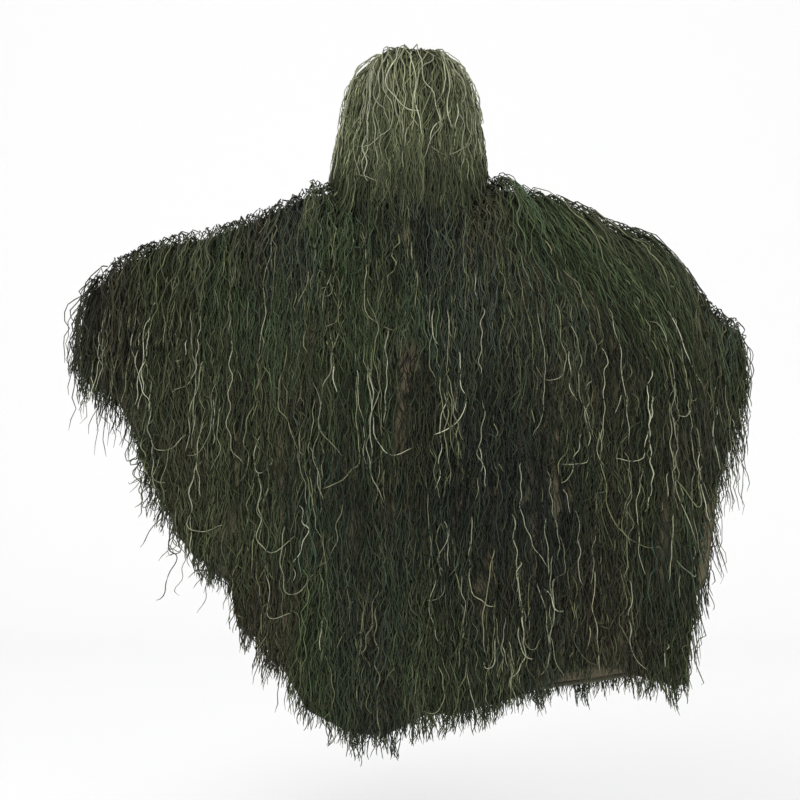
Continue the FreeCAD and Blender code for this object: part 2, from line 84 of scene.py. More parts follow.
DRAPE_POWER = 2.2
NECK_CENTRE_Z = 0.005
NECK_TILT = 0.15
ARM_FORWARD_SWEEP = 0.08
CLOTH = 0.0008

# Hood: horizontal sections as height above the neck opening, half width, half depth, shift to +X
HOOD_SECTIONS = np.array([
    (0.008, 0.108, 0.120, 0.000), (0.050, 0.113, 0.124, 0.000), (0.100, 0.121, 0.128, 0.001),
    (0.150, 0.122, 0.127, 0.003), (0.195, 0.112, 0.114, 0.003), (0.228, 0.097, 0.090, 0.003),
    (0.252, 0.074, 0.064, 0.006), (0.268, 0.042, 0.038, 0.014), (0.276, 0.000, 0.000, 0.024),
])
HOOD_CENTRE_Y = -0.005
# Arc over the face on which the veil hangs: its centre, its radius and half its angle
VEIL_CENTRE = (0.008, -0.028)
VEIL_RADIUS = 0.118
VEIL_HALF_ANGLE = math.radians(42)

# Chest slit and its flap
SLIT = (-0.050, 0.025)
FLAP = (-0.024, 0.022)
FLAP_TOP, FLAP_LOW = -0.0488, -0.2724
FLAP_Y = -0.1420

# Wrist loops: x of the top and the slope of the arm there, and how far they hang below the arm line
WRIST_LOOPS = {"right_arm": (-0.618, math.radians(42)), "left_arm": (0.628, math.radians(38))}
LOOP_DROP, LOOP_CENTRE_DROP = 0.027, 0.036
LOOP_RADIUS, LOOP_HALF_WIDTH = 0.0350, 0.0122

# Yarn tones, linear, and how much rarer some are than the others
TONES = {
    "green": (0.036, 0.056, 0.022), "moss": (0.062, 0.080, 0.030), "olive": (0.052, 0.056, 0.027),
    "brown": (0.046, 0.039, 0.024), "charcoal": (0.023, 0.029, 0.024), "bottle": (0.020, 0.043, 0.028),
}
TONE_COLOURS = np.array(list(TONES.values()))
RARER = {"moss": 0.5, "bottle": 0.4}

# Colours of lighter strands and of the sewing thread, linear
STRAW = np.array((0.150, 0.155, 0.080))
PALE = np.array((0.420, 0.435, 0.310))
HOOD_OLIVE = np.array((0.092, 0.106, 0.052))
HOOD_STRAW = np.array((0.215, 0.215, 0.130))
THREAD_COLOUR = np.array((0.085, 0.086, 0.052))

# Strands: least and greatest radius, points along each, and how bright a tip is beside its own colour, the
# painted light at the end of the painted shade along each strand
YARN_RADII = (0.0010, 0.0014)
WISP_RADII = (0.0010, 0.0015)
PALE_RADII = (0.0011, 0.0016)
FINE_PALE_RADII = (0.0008, 0.0014)
STRAND_RINGS, HOOD_RINGS, PALE_RINGS = 15, 18, 26
TIP_SHADE = 1.10

# How many strands there are where they aren't sewn in rows
HEM_STRANDS, WISPS = 560, 34
PALE_CAPE_STRANDS = {FRONT: 190, BACK: 170}
BROW_STRANDS, VEIL_STRANDS = 300, 420
PALE_HOOD_STRANDS, PALE_BROW_STRANDS = 60, 26

# Sewn rows of the cape: spacing of the strands, and depth of each row below the arm line.
# The upper rows lie on the slope of the shoulders; the first is the ridge.
ROW_SPACING = 0.0034
RIDGE_CROWDING = 0.55
RIDGE_DEPTH = 0.005
ROWS = (0.001, 0.005, 0.009, 0.016, 0.028, 0.044, 0.064, 0.090, 0.122, 0.160, 0.205, 0.250) + tuple(
    0.30 + 0.046 * number for number in range(17))
TIER_ENDS = (0.0, 0.086, 0.27, 0.49, 0.70, 0.95, 1.3)

# Zones of the hood's yarn along the arc from the crown
HOOD_ZONES = {"low": (0.22, math.inf), "middle": (0.11, 0.22), "crown": (0.0, 0.11)}

# Rows of the hood: the first one, the gap after the last and their pitch along the arc, and the
# spacing of the strands. Yarn beyond BROW_TURN lies over the brow.
HOOD_FIRST_ROW, HOOD_LAST_GAP, HOOD_ROW_PITCH = 0.012, 0.02, 0.026
HOOD_SPACING = 0.0027
BROW_TURN = math.radians(138)

# How far a strand that hangs free from the hood moves outwards for each metre of its length
FREE_SPREAD = 0.16

# Studio
FLOOR_Z = -1.48
VIEW_TARGET, CAMERA_DISTANCE = (-0.02, 0.0, -0.42), 3.58


# Shape of the cape and of the hood

def between(value, low, high):
    """Smooth step from 0 at low to 1 at high."""
    share = np.clip((value - low) / (high - low), 0.0, 1.0)
    return share * share * (3.0 - 2.0 * share)


def arm_z(x):
    return np.interp(x, OUTLINE[:, 0], OUTLINE[:, 1])


def arm_y(x):
    return -ARM_FORWARD_SWEEP * np.maximum(np.abs(x) - NECK_HALF_WIDTH, 0.0)


def hem_z(side, x):
    return np.interp(x, OUTLINE[:, 0], OUTLINE[:, 2 if side == FRONT else 3])


def neck_edge(x, reach):
    """How far the rim of the neck opening is from the middle plane, at this x."""
    past = np.clip((np.abs(x) - NECK_FLAT_HALF_WIDTH) / (NECK_HALF_WIDTH - NECK_FLAT_HALF_WIDTH), 0, 1)
    return reach * np.sqrt(1.0 - past ** 2)


def folds(x, depth):
    """Soft vertical folds of the hanging cloth, deeper towards the hem."""
    wave = 0.6 * np.sin(x * 31.0 + 0.6) + 0.4 * np.sin(x * 57.0 + 2.1)
    wave = wave + 0.3 * np.sin(x * 17.0 - depth * 3.0)
    return 0.010 * wave * between(depth, 0.18, 0.85)


def profile(side, x):
    """Top height, start, hanging depth and drop of the drape's side profile at this x."""
    reach = NECK_REACH[side]
    full = HANGING_REACH[side]
    width = np.abs(x)
    start = np.where(width < NECK_HALF_WIDTH, neck_edge(x, reach), 0.0)
    hanging = full + (ARM_HALF_DEPTH - full) * between(width, NECK_FLAT_HALF_WIDTH, 0.450)
    drop = SHOULDER_DROP + (ARM_DROP - SHOULDER_DROP) * between(width, NECK_HALF_WIDTH, 0.450)
    top = np.where(width < NECK_HALF_WIDTH, NECK_CENTRE_Z + NECK_TILT * side * start, arm_z(x))
    return top, start, hanging, drop


def drape(side, x, depth, offset):
    """Points on the cape at this x and depth below the arm line, offset outwards from its inner face."""
    x, depth, offset = np.broadcast_arrays(x, depth, offset)
    top, start, hanging, drop = profile(side, x)
    upwards = between(np.abs(x), NECK_HALF_WIDTH, 0.200)
    start = start + offset * (1.0 - upwards)
    share = 1.0 - (1.0 - np.clip(depth / drop, 0.0, 1.0)) ** DRAPE_POWER
    reach = start + (hanging + offset - start) * share + folds(x, depth)
    y = arm_y(x) + side * reach
    z = top + offset * upwards - depth
    return np.stack((x, y, z), axis=-1)


def drape_slope(side, x, depth):
    """How far the cape moves outwards for each metre that it drops."""
    _, start, hanging, drop = profile(side, x)
    left = 1.0 - np.clip(depth / drop, 0.0, 1.0)
    return (hanging - start) * DRAPE_POWER / drop * left ** (DRAPE_POWER - 1.0)


def full_depth(side, x):
    return profile(side, x)[0] - hem_z(side, x)


def shoulder_height(x, y, clearance):
    """Height of the outside of the cape under a point, or far below where it hangs past the edge."""
    height = np.full(len(x), -9.0)
    for side in (FRONT, BACK):
        top, start, hanging, drop = profile(side, x)
        out = (y - arm_y(x)) * side
        share = (out - start) / (hanging + clearance - start)
        depth = drop * (1.0 - (1.0 - np.clip(share, 0.0, 1.0)) ** (1.0 / DRAPE_POWER))
        here = (out > 0.0) & (share < 1.0)
        height = np.where(here, top - depth + clearance, height)
    return height


def hood_profile(samples=240, smoothing=13):
    """The hood's side profile from the crown down: arc length, height, half width, half depth, shift."""
    table = HOOD_SECTIONS[::-1]
    run = np.hypot(np.diff(table[:, 0]), np.diff(table[:, 1] + table[:, 2]) / 2)
    arc = np.concatenate(([0.0], np.cumsum(run)))
    even = np.linspace(0.0, arc[-1], samples)
    columns = [np.interp(even, arc, table[:, k]) for k in range(4)]
    kernel = np.ones(smoothing) / smoothing
    pad = smoothing // 2
    smooth = []
    for k, column in enumerate(columns):
        mirrored = column[pad:0:-1] * (-1.0 if k in (1, 2) else 1.0)
        padded = np.concatenate((mirrored, column, np.full(pad, column[-1])))
        smooth.append(np.convolve(padded, kernel, mode="valid"))
    return even, smooth


HOOD_ARC, HOOD_COLUMNS = hood_profile()
HOOD_LENGTH = HOOD_ARC[-1]


def hood_at(arc):
    """Height, half width, half depth and shift of the hood at this arc length."""
    return [np.interp(arc, HOOD_ARC, column) for column in HOOD_COLUMNS]


def hood(turn, arc, offset):
    """Points on the hood: turn is 0 at the back seam and positive to +X, arc runs from the crown."""
    turn, arc, offset = np.broadcast_arrays(turn, arc, offset)
    height, width, depth, shift = hood_at(arc)
    step = 0.004
    before, after = hood_at(np.maximum(arc - step, 0.0)), hood_at(arc + step)
    widening = (after[1] + after[2] - before[1] - before[2]) / 2
    falling = before[0] - after[0]
    run = np.hypot(widening, falling) + 1e-9
    out = offset * falling / run
    x = shift + (width + out) * np.sin(turn)
    y = HOOD_CENTRE_Y + (depth + out) * np.cos(turn)
    tilt = 1.0 - between(height, 0.0, 0.228)
    z = NECK_CENTRE_Z + NECK_TILT * y * tilt + height + offset * widening / run
    return np.stack((x, y, z), axis=-1)


def brim_turn(height):
    """Turn at which the hood's cloth ends at the face; the two halves meet over the brow."""
    return np.radians(135.0 + 45.0 * between(height, 0.150, 0.228))


# Meshes

def new_object(name, mesh):
    made = bpy.data.objects.new(name, mesh)
    bpy.context.scene.collection.objects.link(made)
    return made


def shade_smooth(mesh):
    mesh.polygons.foreach_set("use_smooth", np.ones(len(mesh.polygons), bool))


def grid_object(name, points, closed=False):
    """Sheet through a grid of points, rows by columns; closed joins the last column to the first."""
    rows, columns = points.shape[:2]
    quads = []
    for row in range(rows - 1):
        for column in range(columns if closed else columns - 1):
            beside = (column + 1) % columns
            low = row * columns
            high = low + columns
            quads.append((low + column, low + beside, high + beside, high + column))
    mesh = bpy.data.meshes.new(name)
    mesh.from_pydata(points.reshape(-1, 3).tolist(), [], quads)
    shade_smooth(mesh)
    return new_object(name, mesh)


def apply_modifiers(piece):
    evaluated = piece.evaluated_get(bpy.context.evaluated_depsgraph_get())
    mesh = bpy.data.meshes.new_from_object(evaluated)
    piece.modifiers.clear()
    piece.data = mesh
    return piece


def thicken(piece, thickness, offset=1.0):
    solid = piece.modifiers.new("thickness", "SOLIDIFY")
    solid.thickness = thickness
    solid.offset = offset
    return apply_modifiers(piece)


def tube_frames(points):
    """Unit directions across each path, two for each point."""
    tangent = np.gradient(points, axis=1)
    tangent /= np.linalg.norm(tangent, axis=2, keepdims=True) + 1e-12
    guide = np.zeros_like(tangent)
    guide[..., 1] = 1.0
    level = np.abs(tangent[..., 1]) > 0.9
    guide[level] = (1.0, 0.0, 0.0)
    first = np.cross(tangent, guide)
    first /= np.linalg.norm(first, axis=2, keepdims=True) + 1e-12
    return first, np.cross(tangent, first)


def tube_faces(strands, rings, sides):
    """Corner indices of the tubes' quads and end caps, and where each face's corners start."""
    strand = np.arange(strands)[:, None, None] * rings * sides
    ring = np.arange(rings - 1)[None, :, None] * sides
    side = np.arange(sides)[None, None, :]
    beside = (side + 1) % sides
    base = strand + ring
    quads = np.stack((base + side, base + beside, base + sides + beside, base + sides + side), -1)
    around = np.arange(sides)
    first_cap = strand[:, 0] + around[::-1]
    last_cap = strand[:, 0] + (rings - 1) * sides + around
    corners = np.concatenate((quads.ravel(), np.stack((first_cap, last_cap), 1).ravel()))
    quad_count = quads.size // 4
    starts = np.concatenate((np.arange(quad_count) * 4, quad_count * 4 + np.arange(2 * strands) * sides))
    return corners, starts


def tube_uvs(strands, rings, sides):
    """One small cell of the map for each strand, with its length up the cell."""
    cells = int(math.ceil(math.sqrt(strands)))
    index = np.arange(strands)
    low_u = ((index % cells) + 0.15) / cells
    low_v = ((index // cells) + 0.10) / cells
    step_v = 0.8 / cells / (rings - 1)
    step_u = 0.7 / cells / sides
    ring = np.arange(rings - 1)[None, :, None]
    side = np.arange(sides)[None, None, :]
    u0 = low_u[:, None, None] + side * step_u + ring * 0
    v0 = low_v[:, None, None] + ring * step_v + side * 0
    corners = ((0, 0), (step_u, 0), (step_u, step_v), (0, step_v))
    quads = np.stack([np.stack((u0 + u, v0 + v), -1) for u, v in corners], -2)
    across = low_u[:, None] + np.arange(sides) * step_u
    ends = [np.stack((across, low_v[:, None] + rise + across * 0), -1) for rise in (0, step_v * (rings - 1))]
    caps = np.stack((ends[0][:, ::-1], ends[1]), 1)
    return np.concatenate((quads.reshape(-1, 2), caps.reshape(-1, 2)))


def yarn_object(name, points, radius, tint, sides=3):
    """All the strands of one piece as closed tubes, coloured strand by strand."""
    strands, rings = points.shape[:2]
    first, second = tube_frames(points)
    turn = RNG.uniform(0, 2 * np.pi, (strands, 1))
    rim = []
    for side in range(sides):
        angle = turn + 2 * np.pi * side / sides
        rim.append(points + radius[..., None] * (
            first * np.cos(angle)[..., None] + second * np.sin(angle)[..., None]))
    corners = np.stack(rim, axis=2).reshape(-1, 3)
    vertex_index, starts = tube_faces(strands, rings, sides)
    mesh = bpy.data.meshes.new(name)
    mesh.vertices.add(len(corners))
    mesh.vertices.foreach_set("co", corners.astype(np.float32).ravel())
    mesh.loops.add(len(vertex_index))
    mesh.loops.foreach_set("vertex_index", vertex_index.astype(np.int32))
    mesh.polygons.add(len(starts))
    mesh.polygons.foreach_set("loop_start", starts.astype(np.int32))
    shade_smooth(mesh)
    mesh.update(calc_edges=True)
    colours = np.ones((strands, rings, sides, 4), np.float32)
    colours[..., :3] = tint[:, :, None, :]
    layer = mesh.attributes.new("yarn_tint", "FLOAT_COLOR", "POINT")
    layer.data.foreach_set("color", colours.ravel())
    uv_map = mesh.uv_layers.new(name="OFBake")
    uv_map.data.foreach_set("uv", tube_uvs(strands, rings, sides).astype(np.float32).ravel())
    return new_object(name, mesh)


# Strands of yarn

def smooth_field(x, z, seed, size):
    """Even noise between about -1 and 1 whose patches are about size metres across."""
    rng = np.random.default_rng(seed)
    total = np.zeros(np.shape(x))
    for _ in range(7):
        heading = rng.uniform(0, 2 * np.pi)
        pitch = 2 * np.pi / (size * rng.uniform(1.2, 3.0))
        total = total + np.cos((x * np.cos(heading) + z * np.sin(heading)) * pitch + rng.uniform(0, 6.3))
    return total / 3.0


# Camouflage patches placed one by one: x, z, radius across, radius down, tone, strength.
# The back has the same ones, mirrored and nearer to the middle.
PATCHES = (
    (0.00, -0.075, 0.11, 0.050, "charcoal", 2.5), (-0.20, -0.08, 0.05, 0.10, "charcoal", 1.6),
    (0.16, -0.23, 0.10, 0.13, "charcoal", 1.6), (0.17, -0.56, 0.17, 0.17, "charcoal", 2.0),
    (0.08, -0.82, 0.14, 0.12, "charcoal", 1.4), (0.50, -0.72, 0.10, 0.16, "charcoal", 1.2),
    (-0.56, -0.25, 0.08, 0.08, "brown", 1.6), (-0.33, -0.06, 0.12, 0.06, "brown", 1.6),
    (0.43, -0.20, 0.13, 0.10, "green", 1.6), (0.40, -0.32, 0.13, 0.07, "brown", 1.4),
    (-0.16, -0.26, 0.16, 0.14, "green", 1.8), (-0.08, -0.44, 0.12, 0.14, "moss", 1.2),
    (0.08, -0.16, 0.07, 0.10, "moss", 1.4), (-0.40, -0.52, 0.14, 0.16, "olive", 1.8),
    (-0.46, -0.66, 0.08, 0.10, "moss", 1.3), (0.34, -0.86, 0.16, 0.12, "brown", 1.5),
    (-0.14, -0.86, 0.16, 0.14, "green", 1.2), (-0.22, -0.62, 0.12, 0.12, "bottle", 1.0),
    (0.02, -0.66, 0.10, 0.10, "bottle", 1.2), (0.34, -0.46, 0.12, 0.08, "olive", 1.2),
    (-0.30, -0.84, 0.12, 0.10, "brown", 1.0), (0.56, -0.40, 0.09, 0.12, "brown", 1.2),
)
BACK_PATCH_SCALE = -0.8
NOISE_SEEDS = {FRONT: 11, BACK: 47}

# Lighter and darker areas placed one by one: x, z, radius across, radius down, strength
SHADES = (
    (-0.54, -0.26, 0.10, 0.14, -0.70), (0.24, -0.58, 0.26, 0.20, -0.60), (0.00, -0.52, 0.12, 0.16, -0.50),
    (0.42, -0.42, 0.20, 0.14, -0.35), (0.28, -0.85, 0.28, 0.12, -0.35), (0.26, -0.02, 0.14, 0.05, 0.45),
    (-0.30, -0.52, 0.16, 0.12, -0.25), (0.00, -0.12, 0.12, 0.04, -0.45), (0.08, -0.24, 0.08, 0.06, 0.25),
)


def per_lock(locks, draw, *limits):
    """One random value for each lock, shared by its strands."""
    return draw(*limits, locks.max() + 1)[locks]


def patch(side, x, z, middle_x, middle_z, wide, high):
    """Strength of a patch at each point, 1 in its middle."""
    place = middle_x if side == FRONT else BACK_PATCH_SCALE * middle_x
    return np.exp(-((x - place) / wide) ** 2 - ((z - middle_z) / high) ** 2)


def camouflage(side, x, z, spread, locks=None):
    """Colour of each strand from where it hangs, with a few strands in another tone or in straw."""
    names = list(TONES)
    seed = NOISE_SEEDS[side]
    weight = np.stack([smooth_field(x, z, seed + names.index(name), 0.13) - RARER.get(name, 0.0)
                       for name in names], 1)
    for *place, tone, strength in PATCHES:
        weight[:, names.index(tone)] += strength * patch(side, x, z, *place)
    weight = np.exp(2.2 * weight)
    weight /= weight.sum(1, keepdims=True)
    colour = weight @ TONE_COLOURS
    other = TONE_COLOURS[RNG.integers(0, len(TONES), len(x))]
    mix = RNG.uniform(0, spread, (len(x), 1)) ** 1.5
    colour = colour * (1 - mix) + other * mix
    shade = sum(strength * patch(side, x, z, *place) for *place, strength in SHADES)
    if locks is None:
        locks = lock_groups(len(x), 5)
    lock_shade = per_lock(locks, RNG.normal, 0.0, 0.24)
    tufts = 0.26 * smooth_field(x, z, seed + 90, 0.05)
    colour *= 0.96 * np.exp(shade + tufts + lock_shade + RNG.normal(0.0, 0.28, len(x)))[:, None]
    light = RNG.random(len(x)) < 0.035
    colour[light] = STRAW * RNG.uniform(0.6, 1.1, (light.sum(), 1))
    return colour


def painted_shade_along(colour, rings, root=0.55):
    """Each strand's colour for each ring, darker where it comes out of the cloth: painted shade there,
    rising to painted light towards the tip.
    """
    share = np.linspace(0.0, 1.0, rings)
    # Painted shade at the root, rising along the strand to TIP_SHADE, a painted light
    shade = root + (TIP_SHADE - root) * between(share, 0.0, 0.45)
    wobble = 1.0 + 0.10 * RNG.standard_normal((len(colour), rings))
    return np.clip(colour[:, None, :] * (shade * wobble)[..., None], 0.004, 0.9)


def strand_radius(count, rings, radii):
    """Nearly even yarn that narrows a little at its cut end."""
    share = np.linspace(0.0, 1.0, rings)
    taper = 1.0 - 0.25 * share - 0.45 * between(share, 0.93, 1.0)
    return RNG.uniform(*radii, (count, 1)) * taper * (1 + 0.10 * RNG.standard_normal((count, rings)))


def spun(paths, colour, radii=YARN_RADII):
    """Strands ready to be made: their paths, and the radius and colour at each point."""
    count, rings = paths.shape[:2]
    return paths, strand_radius(count, rings, radii), painted_shade_along(colour, rings)


def lock_groups(count, size):
    """Index of the lock that each strand belongs to, for strands in order along a row."""
    edges = np.cumsum(RNG.integers(max(2, size - 3), size + 4, count))
    return np.searchsorted(edges, np.arange(count), side="right")


# Waves of a strand: shortest and longest pitch, strength, and how much of it a whole lock shares
WAVES = ((0.15, 0.32, 0.16, 0.6), (0.06, 0.13, 0.28, 0.3), (0.038, 0.060, 0.30, 0.3))


def wander(rings, length, locks, size):
    """Change of heading along each strand, as three sizes of wave."""
    along = np.linspace(0.0, 1.0, rings) * length[:, None]
    total = np.zeros(along.shape)
    for low, high, strength, shared in WAVES:
        for share, pick in ((shared, locks), (1.0 - shared, np.arange(len(locks)))):
            pitch = per_lock(pick, RNG.uniform, low, high)[:, None]
            phase = per_lock(pick, RNG.uniform, 0, 2 * np.pi)[:, None]
            power = strength * share * per_lock(pick, RNG.lognormal, 0.0, 0.4)[:, None]
            total += power * np.sin(2 * np.pi * along / pitch + phase)
    return size * total


def sweep(side, x, depth):
    """Angle from straight down at which the strands lie, positive to +X."""
    arm = between(x, 0.10, 0.40) * (1.0 - between(x, 0.50, 0.61))
    high = 1.0 - between(depth, 0.10, 0.32)
    right = -0.14 * between(-x, 0.15, 0.5) * (1.0 - between(depth, 0.05, 0.25))
    return (0.95 if side == FRONT else 0.35) * arm * high + right


def cape_strands(side, x, depth, length, layer, rings=STRAND_RINGS, size=1.15, pull=1.0, lift=0.0,
                 base=0.0025, hook=0.0, locks=None):
    """Paths of strands sewn on the cape: they follow its slope down and then hang past the hem."""
    count = len(x)
    step = length / (rings - 1)
    if locks is None:
        locks = lock_groups(count, 6)
    groups = locks.max() + 1
    lean = per_lock(locks, RNG.normal, 0, 0.07) + RNG.normal(0, 0.04, count)
    gather = per_lock(locks, RNG.uniform, 0.0, pull)
    middle = np.bincount(locks, x, groups) / np.maximum(np.bincount(locks, minlength=groups), 1)
    turns = wander(rings, length, locks, size)
    nods = wander(rings, length, locks, 0.016 * size)
    at_x, at_depth = x.copy(), depth.copy()
    walked = np.zeros(count)
    points = np.empty((count, rings, 3))
    for ring in range(rings):
        share = ring / (rings - 1)
        offset = base + (layer - base) * between(walked, -0.004, 0.035) + lift * math.sin(math.pi * share)
        gathered_x = at_x + (middle[locks] - x) * gather * share
        point = drape(side, np.clip(gathered_x, MIN_X - 0.03, MAX_X + 0.035), at_depth, offset)
        point[:, 1] += side * np.maximum(nods[:, ring] * between(walked, 0.0, 0.06), -0.35 * layer)
        points[:, ring] = point
        bend = hook * between(share, 0.55, 0.95)
        heading = sweep(side, at_x, at_depth) * (1.0 - 0.4 * share) + lean + turns[:, ring] + bend
        slope = drape_slope(side, at_x, at_depth)
        at_depth = at_depth + step * np.cos(heading) / np.sqrt(1.0 + slope ** 2)
        at_x = at_x + step * np.sin(heading)
        walked = walked + step
    return points


def row_positions(side, depth, ends):
    """Where strands are sewn along one row: where the cloth is long enough, and not on the chest flap."""
    spacing = ROW_SPACING * (RIDGE_CROWDING if depth < RIDGE_DEPTH else 1.0)
    x = np.sort(RNG.uniform(*ends, int((ends[1] - ends[0]) / spacing)))
    x = x[full_depth(side, x) > depth + 0.012]
    if side == FRONT and 0.03 < depth < 0.26:
        x = x[(x <= FLAP[0] - 0.004) | (x >= FLAP[1] + 0.004)]
    return x


def ragged(x, depth, locks):
    """How far each strand hangs past the hem: in clumps, with gaps between them."""
    clump = smooth_field(x, depth * 0.1, 91, 0.045) * 0.024
    tuft = per_lock(locks, RNG.normal, 0, 0.017)
    return np.clip(0.022 + clump + tuft + RNG.normal(0, 0.005, len(x)), 0.006, 0.052)


def row_lengths(side, x, at, depth, locks, line):
    """Lengths in one row. Most strands end at the tier's own ragged line, and none far past the hem."""
    count = len(x)
    room = full_depth(side, x) - at + ragged(x, depth, locks)
    slope_spare = 0.10 * between(np.abs(x), 0.09, 0.2) * (at < 0.1) * (room > 0.2)
    tuft_length = per_lock(locks, RNG.uniform, 0.20, 0.31) + RNG.normal(0, 0.008, count)
    length = np.minimum(tuft_length, np.maximum(room + slope_spare, 0.035))
    to_line = line - at + 0.034 * smooth_field(x, line, 77, 0.05) + RNG.normal(0, 0.006, count)
    to_line += per_lock(locks, RNG.normal, 0, 0.018)
    tidy = (per_lock(locks, RNG.random) < 0.70) & (RNG.random(count) < 0.80)
    length = np.where(tidy, np.minimum(length, np.maximum(to_line, 0.06)), length)
    if side == FRONT:
        above_flap = (np.abs(x) < 0.03) & (at < 0.05)
        length = np.where(above_flap, np.minimum(length, 0.055), length)
    return length


def row_layers(side, x, depth):
    """How far out the strands of one row lie. Those of the ridge are loose, most of all by the hood."""
    lumps = 0.0035 * smooth_field(x, depth, NOISE_SEEDS[side] + 60, 0.06)
    layer = np.clip(RNG.uniform(0.002, 0.016, len(x)) + lumps, 0.001, 0.020)
    if depth < RIDGE_DEPTH:
        beside_hood = 0.022 * np.exp(-((np.abs(x) - 0.165) / 0.035) ** 2)
        layer = RNG.uniform(0.006, 0.031, len(x)) + 0.010 * between(-x, 0.45, 0.65) + beside_hood
    return layer


def row_strands(side, depth, ends, line):
    """One sewn row. The ridge's strands start on the far side of the arm line and arch over it."""
    x = row_positions(side, depth, ends)
    count = len(x)
    if count < 8:
        return None
    ridge = depth < RIDGE_DEPTH
    locks = lock_groups(count, 8)
    at = np.clip(depth + RNG.normal(0, 0.001 if depth < 0.05 else 0.008, count), 0.0, None)
    length = row_lengths(side, x, at, depth, locks, line)
    layer = row_layers(side, x, depth)
    stray = RNG.random(count) < (0.07 if depth < 0.05 else 0.03)
    lift = np.where(stray, RNG.uniform(0.004, 0.014, count), 0.0)
    base = layer * 0.9 if ridge else 0.0025
    paths = cape_strands(side, x, at, length, layer, lift=lift, base=base, locks=locks)
    if ridge:
        paths[:, 0, 1] -= side * RNG.uniform(0.008, 0.020, count)
        paths[:, 0, 2] -= RNG.uniform(0.006, 0.016, count)
    colour = camouflage(side, x, paths[:, STRAND_RINGS // 2, 2], 0.7, locks)
    # Painted shade: strands that lie deeper, nearer the cloth, are darker
    return spun(paths, colour * (0.60 + 0.55 * np.minimum(layer, 0.018) / 0.018)[:, None])


def hem_strands(side):
    """Short strands along the hem, that hide its binding."""
    x = np.sort(RNG.uniform(MIN_X, MAX_X, HEM_STRANDS))
    full = full_depth(side, x)
    at = full - RNG.uniform(0.006, 0.045, len(x))
    locks = lock_groups(len(x), 9)
    length = np.maximum(full - at + ragged(x, 0.3, locks) + 0.004, 0.02)
    layer = RNG.uniform(0.004, 0.014, len(x))
    paths = cape_strands(side, x, at, length, layer, base=0.003, pull=1.1, locks=locks)
    return spun(paths, camouflage(side, x, paths[:, STRAND_RINGS // 2, 2], 0.6))


def joined(rows):
    """Strands of several rows as one set, leaving out the rows that are too short to have any."""
    rows = [row for row in rows if row is not None]
    return [np.concatenate([row[k] for row in rows]) for k in range(3)]


def build_tier(side, number, ends):
    """All the sewn rows of one tier; its strands reach a little past the start of the next."""
    low, high = TIER_ENDS[number - 1:number + 1]
    return joined([row_strands(side, depth, ends, high + 0.11) for depth in ROWS if low <= depth < high])


# Yarn of the hood, the veil and the chest flap, and the loose strands

def hood_sweep(turn, arc):
    """Angle at which the crown's strands part above the brow, to lie on both sides of it."""
    brow = between(np.abs(turn), math.radians(95), math.radians(150))
    away = np.where((turn < 0.0) | (turn > math.radians(170)), 1.0, -0.6)
    return 0.60 * brow * away * between(arc, 0.01, 0.04) * (1.0 - between(arc, 0.05, 0.16))


def hood_offset(turn, arc, walked, layer, nod, raised):
    """How far off the cloth strands lie: they flare at the sides and bridge from the brow to the veil."""
    flare = (0.008 + 0.036 * np.abs(np.sin(turn))) * between(arc, 0.18, 0.37)
    facing = between(-np.cos(turn), 0.70, 0.97)
    bridge = raised * facing * between(arc, 0.06, 0.11) * (1.0 - between(arc, 0.13, 0.24))
    crown = 0.006 * (1.0 - between(arc, 0.0, 0.05))
    return 0.002 + (layer + flare + nod) * between(walked, 0.0, 0.03) + bridge + crown


def fall(last, turn, step, heading, layer):
    """Next points of strands that hang free, or lie on the shoulders where they reach them."""
    radial = np.stack((np.sin(turn), np.cos(turn)), -1)
    around = np.stack((np.cos(turn), -np.sin(turn)), -1)
    fallen = last.copy()
    fallen[:, :2] += radial * (step * FREE_SPREAD)[:, None] + around * (step * np.sin(heading))[:, None]
    fallen[:, 2] -= step * np.sqrt(1.0 - FREE_SPREAD ** 2) * np.cos(heading)
    ground = shoulder_height(fallen[:, 0], fallen[:, 1], 0.016) + layer * 0.5
    resting = fallen[:, 2] < ground
    fallen[resting, :2] += (radial * (step * 0.5)[:, None])[resting]
    ground = shoulder_height(fallen[:, 0], fallen[:, 1], 0.016) + layer * 0.5
    fallen[:, 2] = np.maximum(np.maximum(fallen[:, 2], ground), last[:, 2] - step)
    return fallen


def hood_strands(turn, arc, length, layer, rings, size=1.05, hook=0.0, raised=0.0):
    """Paths of strands sewn on the hood: down its side, then free, down to the shoulders."""
    count = len(turn)
    step = length / (rings - 1)
    locks = lock_groups(count, 6)
    lean = per_lock(locks, RNG.normal, 0, 0.14) + RNG.normal(0, 0.09, count)
    parted = per_lock(locks, RNG.uniform, 0.0, 1.2)
    turns = wander(rings, length, locks, size)
    nods = wander(rings, length, locks, 0.008)
    at_turn, at_arc = turn.copy(), arc.copy()
    walked = np.zeros(count)
    points = np.empty((count, rings, 3))
    last = hood(at_turn, at_arc, np.full(count, 0.003))
    for ring in range(rings):
        offset = hood_offset(at_turn, at_arc, walked, layer, nods[:, ring], raised)
        on_hood = hood(at_turn, np.minimum(at_arc, HOOD_LENGTH), offset)
        bend = hook * between(ring / (rings - 1), 0.55, 0.95)
        heading = lean + turns[:, ring] + parted * hood_sweep(at_turn, at_arc) + bend
        fallen = fall(last, at_turn, step, heading, layer)
        loose = at_arc > HOOD_LENGTH - 0.030
        last = np.where(loose[:, None] & (ring > 0), fallen, on_hood)
        points[:, ring] = last
        girth = np.maximum(hood_at(np.minimum(at_arc, HOOD_LENGTH))[1], 0.03)
        at_turn = at_turn + np.where(loose, 0.0, step * np.sin(heading) / girth)
        at_arc = at_arc + step * np.cos(heading)
        walked = walked + step
    return points


